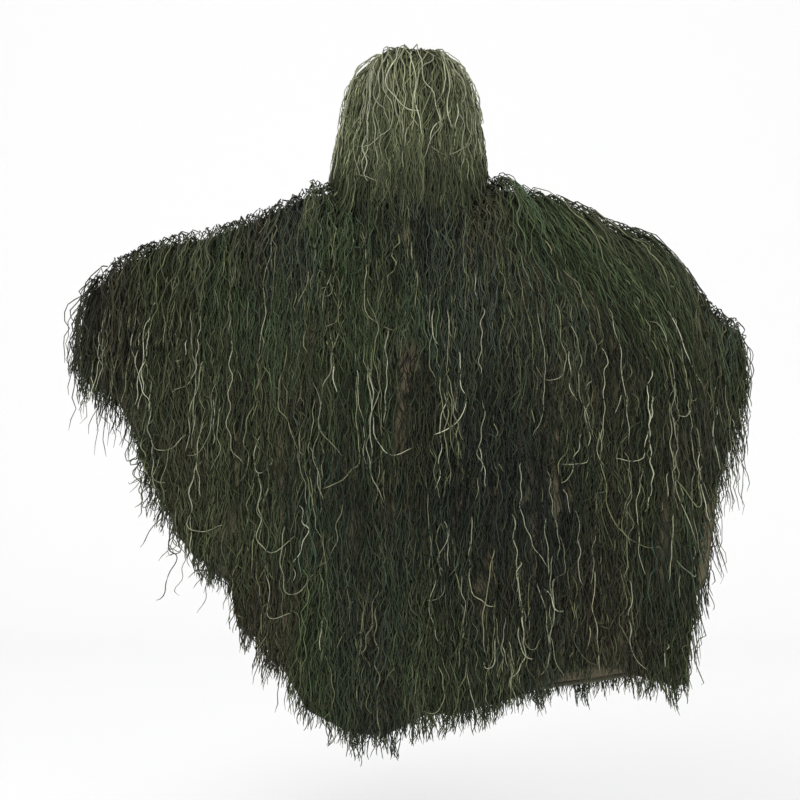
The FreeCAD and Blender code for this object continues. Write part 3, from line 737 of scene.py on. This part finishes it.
def hood_colours(x, z):
    """Lighter olive than the cape, with straw towards the crown."""
    colour = camouflage(FRONT, x + 3.0, z * 0.4, 0.8)
    locks = lock_groups(len(x), 5)
    uneven = np.exp(per_lock(locks, RNG.normal, 0, 0.32) + RNG.normal(0, 0.40, len(x)))[:, None]
    olive = (0.62 * between(z, -0.04, 0.10))[:, None]
    colour = colour * (1 - olive) + HOOD_OLIVE * olive * uneven
    straw = (0.50 * between(z, 0.17, 0.27))[:, None]
    return colour * (1 - straw) + HOOD_STRAW * straw * uneven


def hood_tint(colour, z, root):
    """Colours along the hood's and the veil's strands, darker towards the shoulders."""
    low = 0.62 + 0.38 * between(z, -0.02, 0.14)
    return painted_shade_along(colour, HOOD_RINGS, root) * low[..., None]


def hood_rows():
    """Roots of all the hood's strands as turn and arc, with some more over the brow."""
    turns, arcs = [], []
    for arc in np.arange(HOOD_FIRST_ROW, HOOD_LENGTH - HOOD_LAST_GAP, HOOD_ROW_PITCH):
        height, width, depth, _ = hood_at(arc)
        limit = brim_turn(height)
        count = int(2 * limit * max((width + depth) / 2, 0.060) / HOOD_SPACING)
        turns.append(np.sort(RNG.uniform(-limit, limit, count)))
        arcs.append(np.clip(arc + RNG.normal(0, 0.005, count), 0.004, HOOD_LENGTH))
    turns.append(signed_turn(RNG.uniform(BROW_TURN, 2 * np.pi - BROW_TURN, BROW_STRANDS)))
    arcs.append(RNG.uniform(0.006, 0.095, BROW_STRANDS))
    return np.concatenate(turns), np.concatenate(arcs)


def signed_turn(turn):
    """The same turns counted from -pi to pi."""
    return np.where(turn > np.pi, turn - 2 * np.pi, turn)


def hood_lengths(turn, arc):
    """Strands reach the shoulders, and at the front and back they hang past them in uneven clumps."""
    facing = -np.cos(turn)
    count = len(turn)
    clump = 0.030 * smooth_field(turn * 0.12, arc * 0.1, 31, 0.045) + RNG.normal(0, 0.022, count)
    middle = np.where(facing > 0.55, 0.052, np.where(facing < -0.5, 0.055, -0.018))
    tail = np.clip(middle + clump, -0.07, np.where(np.abs(facing) > 0.5, 0.11, 0.004))
    return np.minimum(HOOD_LENGTH - arc + tail, RNG.uniform(0.24, 0.38, count))


def build_hood(turn, arc, raised=0.0):
    """Strands of one zone of the hood from their roots, in order round it."""
    order = np.argsort(turn, kind="stable")
    turn, arc = turn[order], arc[order]
    length = hood_lengths(turn, arc)
    layer = RNG.uniform(0.001, 0.015, len(turn))
    paths = hood_strands(turn, arc, length, layer, HOOD_RINGS, raised=raised)
    # Painted shade: strands that lie deeper on the hood, nearer the cloth, are darker
    colour = hood_colours(paths[:, 6, 0], paths[:, 6, 2]) * (0.55 + 0.60 * layer / 0.015)[:, None]
    tint = hood_tint(colour, paths[..., 2], 0.85)
    return paths, strand_radius(len(turn), HOOD_RINGS, YARN_RADII), tint


def veil_strands(count=VEIL_STRANDS):
    """Strands that hang over the face from the header tape."""
    turn = np.sort(RNG.uniform(-VEIL_HALF_ANGLE, VEIL_HALF_ANGLE, count))
    uneven = 0.034 * smooth_field(turn * 0.12, 0.0, 37, 0.05)
    length = np.clip(0.252 + uneven + RNG.normal(0, 0.025, count), 0.17, 0.31)
    locks = lock_groups(count, 6)
    layer = RNG.uniform(-0.005, 0.007, count)
    share = np.linspace(0.0, 1.0, HOOD_RINGS)[None, :]
    along = share * length[:, None]
    radius = VEIL_RADIUS + layer[:, None] * between(along, 0, 0.05) + 0.016 * between(along, 0.10, 0.27)
    fan = turn[:, None] * (1 + 0.12 * share) + RNG.normal(0, 0.03, (count, 1)) * share
    heading = wander(HOOD_RINGS, length, locks, 0.9)
    across = np.cumsum(np.sin(heading), axis=1) * (length / (HOOD_RINGS - 1))[:, None]
    x = VEIL_CENTRE[0] + radius * np.sin(fan) + across
    y = VEIL_CENTRE[1] - radius * np.cos(fan)
    z = 0.221 - along
    # Painted shade: strands that hang further in, behind the outer ones, are darker
    colour = hood_colours(x[:, 6], RNG.uniform(-0.02, 0.14, count)) * (0.75 + 40 * layer)[:, None]
    tint = hood_tint(colour, z, 0.8)
    return np.stack((x, y, z), -1), strand_radius(count, HOOD_RINGS, YARN_RADII), tint


def flap_strands():
    """Short rows on the moving flap of the chest placket."""
    rows = []
    for z in np.arange(FLAP_TOP - 0.006, FLAP_LOW + 0.02, -0.020):
        x = np.sort(RNG.uniform(FLAP[0] + 0.001, FLAP[1] - 0.001, 14))
        depth = profile(FRONT, x)[0] - z + RNG.normal(0, 0.003, len(x))
        room = z - FLAP_LOW + RNG.uniform(0.02, 0.08, len(x))
        length = np.minimum(RNG.uniform(0.14, 0.24, len(x)), room)
        layer = RNG.uniform(0.010, 0.019, len(x))
        paths = cape_strands(FRONT, x, depth, length, layer, base=0.0105)
        rows.append(spun(paths, camouflage(FRONT, x, paths[:, STRAND_RINGS // 2, 2], 0.7)))
    return joined(rows)


def pale(paths, radii):
    """Pale strands ready to be made, each in its own shade between nearly white straw and a duller one."""
    count, rings = paths.shape[:2]
    radius = strand_radius(count, rings, radii)
    mix = RNG.random((count, 1)) ** 0.8
    colour = (PALE * (1 - mix) + STRAW * mix) * RNG.uniform(0.55, 1.1, (count, 1))
    return paths, radius, painted_shade_along(colour, rings, 0.9)


def hooks(count):
    """Some strands turn aside towards their tips."""
    return np.where(RNG.random(count) < 0.45, RNG.normal(0, 1.1, count), RNG.normal(0, 0.2, count))


def pale_cape_strands(side):
    """Pale strands, sparse and curly, that lie over all the rows but not over the chest flap."""
    x = np.sort(RNG.uniform(MIN_X + 0.02, MAX_X - 0.02, PALE_CAPE_STRANDS[side]))
    if side == FRONT:
        x = x[np.abs(x) > 0.032]
    reach = full_depth(side, x)
    depth = RNG.uniform(0.02, 0.92, len(x)) * reach
    length = np.clip(RNG.uniform(0.06, 0.30, len(x)), 0.04, reach - depth + 0.03)
    layer = RNG.uniform(0.018, 0.022, len(x))
    paths = cape_strands(side, x, depth, length, layer, PALE_RINGS, size=0.8, pull=0.0, hook=hooks(len(x)))
    return pale(paths, FINE_PALE_RADII)


def pale_hood_strands(count=PALE_HOOD_STRANDS):
    """Sparse pale strands over the hood's sides and back."""
    turn = np.sort(RNG.uniform(-BROW_TURN, BROW_TURN, count))
    arc = RNG.uniform(0.02, 0.20, count)
    length = RNG.uniform(0.12, 0.24, count)
    layer = RNG.uniform(0.018, 0.022, count)
    return pale(hood_strands(turn, arc, length, layer, PALE_RINGS, 1.1, hooks(count) * 0.6), PALE_RADII)


def pale_brow_strands(count=PALE_BROW_STRANDS):
    """Pale strands from the crown that cross the brow and hang over the veil."""
    turn = signed_turn(np.sort(RNG.uniform(BROW_TURN - 0.2, 2 * np.pi - BROW_TURN + 0.2, count)))
    length = RNG.uniform(0.14, 0.30, count)
    arc = RNG.uniform(0.008, 0.10, count)
    layer = RNG.uniform(0.016, 0.020, count)
    paths = hood_strands(turn, arc, length, layer, PALE_RINGS, 0.9, hooks(count) * 0.7, raised=0.042)
    return pale(paths, PALE_RADII)


def wing_wisps(count=WISPS):
    """Long loose strands that trail past the hem under the wearer's right arm."""
    x = np.sort(RNG.uniform(-0.545, -0.395, count))
    depth = full_depth(FRONT, x) - RNG.uniform(0.02, 0.09, count)
    length = RNG.uniform(0.10, 0.20, count)
    layer = RNG.uniform(0.006, 0.016, count)
    hook = RNG.normal(0, 0.9, count)
    paths = cape_strands(FRONT, x, depth, length, layer, PALE_RINGS, size=2.6, pull=0.9, hook=hook)
    return spun(paths, camouflage(FRONT, x, paths[:, 12, 2], 0.5), WISP_RADII)


# Materials

def set_inputs(node, values):
    for socket, value in values.items():
        node.inputs[socket].default_value = value


def new_material(name, values):
    """Material with its node tree and its shader, which starts from these values."""
    material = bpy.data.materials.new(name)
    material.use_nodes = True
    shader = material.node_tree.nodes["Principled BSDF"]
    set_inputs(shader, values)
    return material, material.node_tree, shader


def add_node(tree, kind, values, **settings):
    node = tree.nodes.new(f"ShaderNode{kind}")
    for setting, value in settings.items():
        setattr(node, setting, value)
    set_inputs(node, values)
    return node


def join(tree, source, output, target, socket):
    tree.links.new(source.outputs[output], target.inputs[socket])


def place_on_object(tree, texture):
    """Fixes a texture to the object's own coordinates."""
    join(tree, add_node(tree, "TexCoord", {}), "Object", texture, "Vector")
    return texture


def add_noise(tree, scale, detail):
    return place_on_object(tree, add_node(tree, "TexNoise", {"Scale": scale, "Detail": detail}))


def opaque(colour, gain=1.0):
    return (*[channel * gain for channel in colour], 1.0)


def add_tones(tree, noise, dark, light):
    """Mixes a dark and a light tone by a noise."""
    tones = add_node(tree, "Mix", {}, data_type="RGBA")
    set_inputs(tones, {"A": dark, "B": light})
    join(tree, noise, "Fac", tones, "Factor")
    return tones


def plain_material(name, colour):
    return new_material(name, {"Base Color": opaque(colour), "Roughness": 0.9})[0]


def yarn_material(name):
    """Soft spun yarn: the strand's own colour, broken up by the twist of its fibres."""
    material, tree, shader = new_material(name, {"Roughness": 0.85, "Specular IOR Level": 0.25})
    tint = add_node(tree, "Attribute", {}, attribute_name="yarn_tint")
    level = add_node(tree, "MapRange", {"From Min": 0.3, "From Max": 0.7, "To Min": 0.62, "To Max": 1.38})
    tinted = add_node(tree, "VectorMath", {}, operation="SCALE")
    join(tree, add_noise(tree, 900.0, 2.0), "Fac", level, "Value")
    join(tree, tint, "Color", tinted, 0)
    join(tree, level, "Result", tinted, "Scale")
    join(tree, tinted, "Vector", shader, "Base Color")
    return material


def woven_material(name, colour, pitch, relief):
    """Plain weave: two crossed bands of threads, uneven colour and a fine bump."""
    material, tree, shader = new_material(name, {"Roughness": 0.9, "Sheen Weight": 0.15})
    weave = add_node(tree, "Math", {}, operation="MULTIPLY")
    band = {"Scale": 1.0 / pitch / 2.0, "Distortion": 0.6, "Detail Scale": 3.0}
    for socket, axis in enumerate(("X", "Z")):
        threads = place_on_object(tree, add_node(tree, "TexWave", band, bands_direction=axis))
        join(tree, threads, "Fac", weave, socket)
    tones = add_tones(tree, add_noise(tree, 14.0, 5.0), opaque(colour, 0.72), opaque(colour, 1.25))
    shaded = add_node(tree, "Mix", {}, data_type="RGBA", blend_type="MULTIPLY")
    set_inputs(shaded, {"Factor": 0.45})
    join(tree, tones, "Result", shaded, "A")
    join(tree, weave, "Value", shaded, "B")
    join(tree, shaded, "Result", shader, "Base Color")
    bump = add_node(tree, "Bump", {"Strength": relief, "Distance": 0.0006})
    join(tree, weave, "Value", bump, "Height")
    join(tree, bump, "Normal", shader, "Normal")
    return material


def metal_material(name, colour):
    """Lacquered metal with faint wear."""
    material, tree, shader = new_material(name, {"Metallic": 0.85, "Roughness": 0.38})
    tones = add_tones(tree, add_noise(tree, 350.0, 4.0), opaque(colour), opaque(colour, 2.6))
    join(tree, tones, "Result", shader, "Base Color")
    return material


YARN = yarn_material("cape_yarn_spun")
YARN_PLAIN = plain_material("cape_yarn_plain", (0.06, 0.07, 0.04))
THREAD = plain_material("sewing_thread", (0.070, 0.072, 0.045))
BRONZE = metal_material("stud_bronze", (0.060, 0.050, 0.034))
BLACK = metal_material("eyelet_black", (0.028, 0.028, 0.026))
WEAVES = {
    "olive_cloth": woven_material("olive_cloth_weave", (0.215, 0.180, 0.105), 0.0011, 0.5),
    "olive_tape": woven_material("olive_tape_weave", (0.100, 0.100, 0.055), 0.0016, 0.8),
    "elastic_webbing": woven_material("elastic_webbing_rib", (0.035, 0.040, 0.028), 0.0022, 1.0),
}


def paint(piece, material):
    piece.data.materials.clear()
    piece.data.materials.append(material)


def weave(piece, slot, node):
    """Gives cloth or tape its woven material, in place of the CAD node that stands for it."""
    paint(piece, WEAVES[slot])
    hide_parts(node)
    return piece


def within_depth(points):
    """Draws strands in smoothly where they would stand out too far in front or behind."""
    kept = points.copy()
    for side, start, reach in ((FRONT, 0.154, 0.013), (BACK, 0.142, 0.012)):
        over = np.maximum(points[..., 1] * side - start, 0.0)
        kept[..., 1] -= side * (over - reach * (1.0 - np.exp(-over / reach)))
    return kept


def coat_yarn(piece, fallback):
    """Shows the yarn material. The mesh keeps a plain one, for an export that can't bake the piece."""
    piece.data.materials.append(fallback)
    piece.material_slots[0].link = "OBJECT"
    piece.material_slots[0].material = YARN


def yarn_piece(name, strands, body=None, node=None):
    """Yarn of one piece, riding a body, in place of the CAD node that stands for it."""
    points, radius, tint = strands
    piece = yarn_object(name, within_depth(points), radius, tint)
    coat_yarn(piece, YARN_PLAIN)
    if node:
        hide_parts(node)
    if body:
        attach(piece, body)
    return piece


# Cloth

def arm_spans(split, low=MIN_X, high=MAX_X):
    """The wearer's right and left half of the cape along x, parted at one place."""
    return {"right_arm": (low, split), "left_arm": (split, high)}


def panel_points(side, ends, rows=70, pitch=0.010):
    """Grid of points on one panel, closer together at the shoulder."""
    x = np.linspace(*ends, int((ends[1] - ends[0]) / pitch) + 1)
    share = np.linspace(0.0, 1.0, rows) ** 1.25
    return drape(side, x, share[:, None] * full_depth(side, x)[None, :], 0.0)


def build_cape_cloth():
    """Four panels of base cloth, with the chest slit cut out of the front ones."""
    panels = {}
    for side, face in FACES:
        for arm, ends in arm_spans(SLIT[0]).items():
            name = f"{face}_panel_{arm}"
            piece = grid_object(f"{face}_cloth_{arm}", panel_points(side, ends))
            if side == FRONT and arm == "left_arm":
                cut_slit(piece)
            panels[name] = weave(thicken(piece, CLOTH, -side), "olive_cloth", name)
            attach(piece, "cape")
    return panels


def cut_slit(piece):
    """Takes the cloth out of the chest slit."""
    work = bmesh.new()
    work.from_mesh(piece.data)
    inside = []
    for face in work.faces:
        middle = face.calc_center_median()
        if middle.x < SLIT[1] and FLAP_LOW < middle.z < FLAP_TOP:
            inside.append(face)
    bmesh.ops.delete(work, geom=inside, context="FACES")
    work.to_mesh(piece.data)
    work.free()


def build_hood_cloth():
    """Right and left half of the hood."""
    halves = {}
    arcs = np.linspace(0.004, HOOD_LENGTH, 60)
    for side, name in HOOD_HALVES:
        turn = side * np.linspace(0.0, 1.0, 40)[None, :] * brim_turn(hood_at(arcs)[0])[:, None]
        ripple = 0.0015 * np.sin(turn * 9.0) * np.sin(arcs[:, None] * 30.0)
        sheet = grid_object(f"hood_cloth_{name}", hood(turn, arcs[:, None], ripple))
        halves[name] = weave(thicken(sheet, CLOTH, side), "olive_cloth", f"hood_panel_{name}")
    return halves


def bend_at_nape(piece):
    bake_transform(piece)


# Tapes, bindings, straps and stitching

def soft_piece(name, points, body, node, thickness=0.0007, closed=False, slot="olive_tape"):
    """Thin tape or cloth through rows of points, riding a body."""
    piece = weave(thicken(grid_object(name, points, closed), thickness, 0.0), slot, node)
    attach(piece, body)
    return piece


def stitching(name, lines, body, pitch=0.0042, length=0.0028, radius=0.00035):
    """Running stitches along lines of points."""
    stitches = []
    for line in lines:
        run = np.concatenate(([0.0], np.cumsum(np.linalg.norm(np.diff(line, axis=0), axis=1))))
        starts = np.arange(0.001, run[-1] - length, pitch)
        at = starts[:, None] + np.array((0.0, 0.5, 1.0)) * length
        stitches.append(np.stack([np.interp(at, run, line[:, k]) for k in range(3)], -1))
    points = np.concatenate(stitches)
    shape = points.shape[:2]
    tint = np.broadcast_to(THREAD_COLOUR, (*shape, 3)) * RNG.uniform(0.8, 1.2, (len(points), 3, 1))
    piece = yarn_object(name, points, np.full(shape, radius), tint)
    coat_yarn(piece, THREAD)
    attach(piece, body)
    return piece


# Section of the hem's tape: depth past the cloth's edge, and offset outwards
HEM_SECTION = ((-0.010, -0.0012), (-0.005, -0.0014), (-0.001, -0.0012), (0.001, 0.0006),
               (-0.001, 0.0022), (-0.005, 0.0024), (-0.010, 0.0020))


def hem_binding(side, face, arm, ends):
    """Tape folded over the lower edge of one panel, sewn through both of its sides."""
    x = np.linspace(*ends, int((ends[1] - ends[0]) / 0.004))
    full = full_depth(side, x)
    points = np.stack([drape(side, x, full + depth, offset) for depth, offset in HEM_SECTION])
    lines = [drape(side, x, full - 0.0075, offset) for offset in (-0.0017, 0.0027)]
    return [soft_piece(f"hem_tape_{face}_{arm}", points, "cape", f"hem_binding_{face}_{arm}"),
            stitching(f"hem_stitches_{face}_{arm}", lines, "cape")]


def arm_seam_tape(arm, ends):
    """Tape under the seam along one arm line."""
    x = np.linspace(*ends, 110)
    section = ((BACK, 0.012), (BACK, 0.005), (BACK, 0.001), (FRONT, 0.001), (FRONT, 0.006), (FRONT, 0.016))
    points = np.stack([drape(side, x, depth, -0.0014) for side, depth in section])
    lines = [drape(side, x, depth, -0.0020) for side, depth in ((BACK, 0.009), (FRONT, 0.013))]
    return [soft_piece(f"seam_tape_{arm}", points, "cape", f"arm_seam_tape_{arm}"),
            stitching(f"seam_stitches_{arm}", lines, "cape")]


def neck_ring(share, rise):
    """Closed line round the neck opening, drawn in to a share of its size."""
    turn = np.linspace(0.0, math.pi, 60)[:-1]
    x = NECK_HALF_WIDTH * np.concatenate((-np.cos(turn), np.cos(turn)))
    side = np.repeat((FRONT, BACK), len(turn))
    y = side * neck_edge(x, np.where(side == FRONT, NECK_REACH[FRONT], NECK_REACH[BACK]))
    return np.stack((share * x, share * y, NECK_CENTRE_Z + NECK_TILT * y + rise), -1)


def neck_binding():
    """Band folded round the edge of the neck opening."""
    section = ((0.996, -0.006), (0.996, 0.002), (0.990, 0.0045), (0.982, 0.002), (0.979, -0.009))
    points = np.stack([neck_ring(*row) for row in section])
    return [soft_piece("neck_band", points, "cape", "neck_binding", 0.0009, closed=True),
            stitching("neck_stitches", [neck_ring(0.973, -0.007)], "cape")]


def draw_channel(side, name):
    """Tunnel of tape along the inside of one half of the brim."""
    arcs = np.linspace(0.0, HOOD_LENGTH, 160)
    arcs = arcs[(hood_at(arcs)[0] < 0.195)]
    limit = brim_turn(hood_at(arcs)[0])
    share = np.linspace(8.0 / 9.0, 1.0, 9)
    bulge = -0.0009 - 0.0019 * np.sin(np.pi * (share - share[0]) / (1.0 - share[0]))
    points = hood(side * share[None, :] * limit[:, None], arcs[:, None], bulge)
    lines = [hood(side * limit * at, arcs, depth) for depth in (-0.0022, 0.0012) for at in (0.90, 0.985)]
    return [soft_piece(f"channel_tape_{name}", points, "hood", f"draw_channel_{name}"),
            stitching(f"channel_stitches_{name}", lines, "hood")]


def veil_peak():
    """Short stitched peak that carries the veil."""
    turn = np.linspace(-VEIL_HALF_ANGLE, VEIL_HALF_ANGLE, 40)
    section = ((0.1025, 0.2195), (0.108, 0.2215), (0.115, 0.2215), (0.1205, 0.2195), (0.1230, 0.2160))
    rows = [np.stack((VEIL_CENTRE[0] + radius * np.sin(turn), VEIL_CENTRE[1] - radius * np.cos(turn),
                      np.full(len(turn), z)), -1) for radius, z in section]
    soft_piece("veil_peak", np.stack(rows), "face_veil", "veil_header", 0.0015)
    stitching("veil_peak_stitches", [rows[k] + np.array((0.0, 0.0, 0.0011)) for k in (1, 3)], "face_veil")


def wrist_loop(arm, place):
    """Elastic loop for the wrist, with its stitched tab up to the cloth."""
    x, slope = place
    outwards = -1.0 if x < 0.0 else 1.0
    along = np.array((outwards * math.cos(slope), 0.0, -math.sin(slope)))
    up = np.array((outwards * math.sin(slope), 0.0, math.cos(slope)))
    across = np.array((0.0, 1.0, 0.0))
    top = np.array((x, arm_y(x), arm_z(x) - LOOP_DROP))
    centre = top - up * LOOP_CENTRE_DROP
    turn = np.linspace(0.0, 2 * np.pi, 73)[:-1]
    rim = np.cos(turn)[:, None] * up + np.sin(turn)[:, None] * across
    rows = []
    for share in np.linspace(-1.0, 1.0, 9):
        radius = LOOP_RADIUS + 0.0004 * np.sin(turn * 18.0) * share ** 2
        rows.append(centre + along * (LOOP_HALF_WIDTH * share) + radius[:, None] * rim)
    name = f"wrist_loop_{arm}"
    soft_piece(f"wrist_elastic_{arm}", np.stack(rows), name, name, 0.0016, True, "elastic_webbing")
    stitching(f"wrist_stitches_{arm}", [rows[k] + (rows[k] - centre) * 0.03 for k in (1, 7)], name)
    wrist_strap(arm, top, up, across)


def wrist_strap(arm, top, up, across):
    """Tab from the top of a wrist loop up to the seam of the arm line."""
    rise = np.linspace(0.0, 0.045, 200)
    reached = top[2] + up[2] * rise > arm_z(top[0] + up[0] * rise) - 0.002
    tab = [[top + up * height + across * wide for wide in np.linspace(-0.0068, 0.0068, 5)]
           for height in np.linspace(0.001, rise[np.argmax(reached)], 8)]
    soft_piece(f"wrist_strap_{arm}", np.array(tab), "cape", f"wrist_tab_{arm}", 0.0014)


def rounded(value):
    """Squares off a circle's sine or cosine, for a loop with flat sides."""
    return np.sign(value) * np.abs(value) ** 0.35


def hanging_loop():
    """Flat loop of narrow tape inside the nape."""
    turn = np.linspace(0.0, 2 * np.pi, 97)[:-1]
    section = ((0.0258, 0.0118, 0.1102), (0.0230, 0.0090, 0.1099), (0.0202, 0.0062, 0.1102))
    rows = [np.stack((half_width * rounded(np.cos(turn)), np.full(len(turn), y),
                      half_height * rounded(np.sin(turn))), -1) for half_width, half_height, y in section]
    soft_piece("hanging_tape", np.stack(rows), "hanging_loop", "hanging_loop", 0.0013, closed=True)


def slit_facing():
    """Cloth behind the chest slit."""
    x = np.linspace(SLIT[0] - 0.003, SLIT[1] + 0.003, 18)
    start = profile(FRONT, x)[0] - FLAP_TOP - 0.003
    depth = np.linspace(0.0, 1.0, 50)[:, None] * (FLAP_TOP - FLAP_LOW + 0.006) + start[None, :]
    points = drape(FRONT, x, depth, -0.0006)
    return soft_piece("slit_facing", points, "cape", "placket_under", slot="olive_cloth")


def placket_flap():
    """Flap that closes over the chest slit, sewn along its edges on both faces."""
    across = np.linspace(FLAP[0] + 0.0004, FLAP[1] - 0.0004, 14)[None, :]
    down = np.linspace(FLAP_TOP - 0.0004, FLAP_LOW + 0.0004, 60)[:, None]
    wave = 0.0003 * np.sin(down * 120.0) * np.sin(across * 150.0)
    grid = np.stack(np.broadcast_arrays(across, FLAP_Y + wave, down), -1)
    lines = [edge + np.array((0.0, y, 0.0)) for edge in (grid[:, 1], grid[:, -2], grid[1], grid[-2])
             for y in (-0.0010, 0.0010)]
    return [soft_piece("placket_board", grid, "chest_flap", "placket_flap", 0.0014, slot="olive_cloth"),
            stitching("placket_stitches", lines, "chest_flap")]


# The whole object

def tier_spans(side, number):
    """Pieces of one tier: the front's two upper tiers are parted at the chest flap."""
    if side == FRONT and number <= 2:
        return {f"{number}_{arm}": ends for arm, ends in arm_spans(FLAP[0]).items()}
    return {f"{number}": (MIN_X, MAX_X)}


def build_cape_yarn():
    for side, face in FACES:
        for number in range(1, len(TIER_ENDS)):
            for ending, ends in tier_spans(side, number).items():
                strands = build_tier(side, number, ends)
                yarn_piece(f"{face}_yarn_{ending}", strands, "cape", f"{face}_fringe_{ending}")
        yarn_piece(f"{face}_hem_yarn", hem_strands(side), "cape")
    for side, face in FACES:
        yarn_piece(f"{face}_pale_strands", pale_cape_strands(side), "cape")
    yarn_piece("wing_wisps", wing_wisps(), "cape")


def build_hood_yarn():
    turn, arc = hood_rows()
    brow = np.abs(turn) > BROW_TURN
    for zone, (start, end) in HOOD_ZONES.items():
        for side, half in HOOD_HALVES:
            chosen = (arc > start) & (arc <= end) & ~brow & (turn * side > 0)
            strands = build_hood(turn[chosen], arc[chosen])
            bend_at_nape(yarn_piece(f"hood_yarn_{zone}_{half}", strands,
                                    node=f"hood_fringe_{zone}_{half}"))
    over_brow = (yarn_piece("hood_yarn_brow", build_hood(turn[brow], arc[brow], 0.040)),
                 yarn_piece("brow_pale_strands", pale_brow_strands()))
    for piece in over_brow:
        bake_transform(piece)
    yarn_piece("face_veil_yarn", veil_strands(), "face_veil", "veil_fringe")
    yarn_piece("hood_pale_strands", pale_hood_strands(), "hood")
    yarn_piece("chest_flap_yarn", flap_strands(), "chest_flap", "placket_fringe")


def build_tapes():
    """Bindings, tapes and straps, grouped by the cloth that they are sewn to."""
    sewn = {}
    for side, face in FACES:
        for arm, ends in arm_spans(SLIT[0]).items():
            sewn[f"{face}_panel_{arm}"] = hem_binding(side, face, arm, ends)
    sewn["front_panel_right_arm"] += arm_seam_tape("right_arm", (MIN_X + 0.001, -0.200))
    sewn["front_panel_left_arm"] += arm_seam_tape("left_arm", (0.200, MAX_X - 0.001))
    sewn["back_panel_left_arm"] += neck_binding()
    for side, half in HOOD_HALVES:
        sewn[half] = draw_channel(side, half)
    veil_peak()
    hanging_loop()
    for arm, place in WRIST_LOOPS.items():
        wrist_loop(arm, place)
    return sewn


def declare_sheets(sewn):
    """Cloth behind the chest slit, and the flap over it with its stitches."""
    slit_facing()
    flap, stitches = placket_flap()


def paint_metal():
    for name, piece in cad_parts.items():
        if name.startswith("press_"):
            paint(piece, BRONZE)
        elif name.startswith("draw_eyelet"):
            paint(piece, BLACK)


def build_stage():
    """Pale floor that curves up into a backdrop."""
    floor_z, wall_y, bend = FLOOR_Z, 5.5, 1.5
    turns = np.linspace(0.0, math.pi / 2, 16)
    line = [(-18.0, floor_z)]
    line += [(wall_y - bend + bend * math.sin(t), floor_z + bend - bend * math.cos(t)) for t in turns]
    line.append((wall_y, 9.0))
    points = np.array([[(x, y, z) for x in (-20.0, 20.0)] for y, z in line])
    backdrop = grid_object("backdrop", points)
    paint(backdrop, plain_material("pale_backdrop", (0.92, 0.92, 0.92)))


def add_area_light(name, place, target, size, power):
    light = bpy.data.lights.new(name, "AREA")
    light.size = size
    light.energy = power
    lamp = new_object(name, light)
    lamp.location = place
    aim(lamp, place, target)


def aim(thing, place, target):
    direction = Vector(target) - Vector(place)
    thing.rotation_euler = direction.to_track_quat("-Z", "Y").to_euler()


def build_lights():
    world = bpy.data.worlds.new("studio")
    world.use_nodes = True
    world.node_tree.nodes["Background"].inputs["Color"].default_value = (1.0, 1.0, 1.0, 1.0)
    world.node_tree.nodes["Background"].inputs["Strength"].default_value = 0.95
    bpy.context.scene.world = world
    add_area_light("key", (-1.4, -3.2, 2.4), (0.0, 0.0, -0.4), 1.6, 90.0)
    add_area_light("fill", (2.2, -3.0, 1.2), (0.0, 0.0, -0.5), 2.4, 40.0)


def build_camera():
    """Camera level with the chest, straight in front."""
    camera = bpy.data.cameras.new("camera")
    camera.lens = 78.75
    camera.sensor_width = 36.0
    holder = new_object("camera", camera)
    place = (VIEW_TARGET[0], -CAMERA_DISTANCE, VIEW_TARGET[2])
    holder.location = place
    aim(holder, place, VIEW_TARGET)
    bpy.context.scene.camera = holder
    bpy.context.scene.view_settings.view_transform = "Standard"


build_camera()
build_stage()
build_lights()
paint_metal()
cape_panels = build_cape_cloth()
hood_halves = build_hood_cloth()
for half in hood_halves.values():
    bend_at_nape(half)
declare_sheets(build_tapes())
build_cape_yarn()
build_hood_yarn()
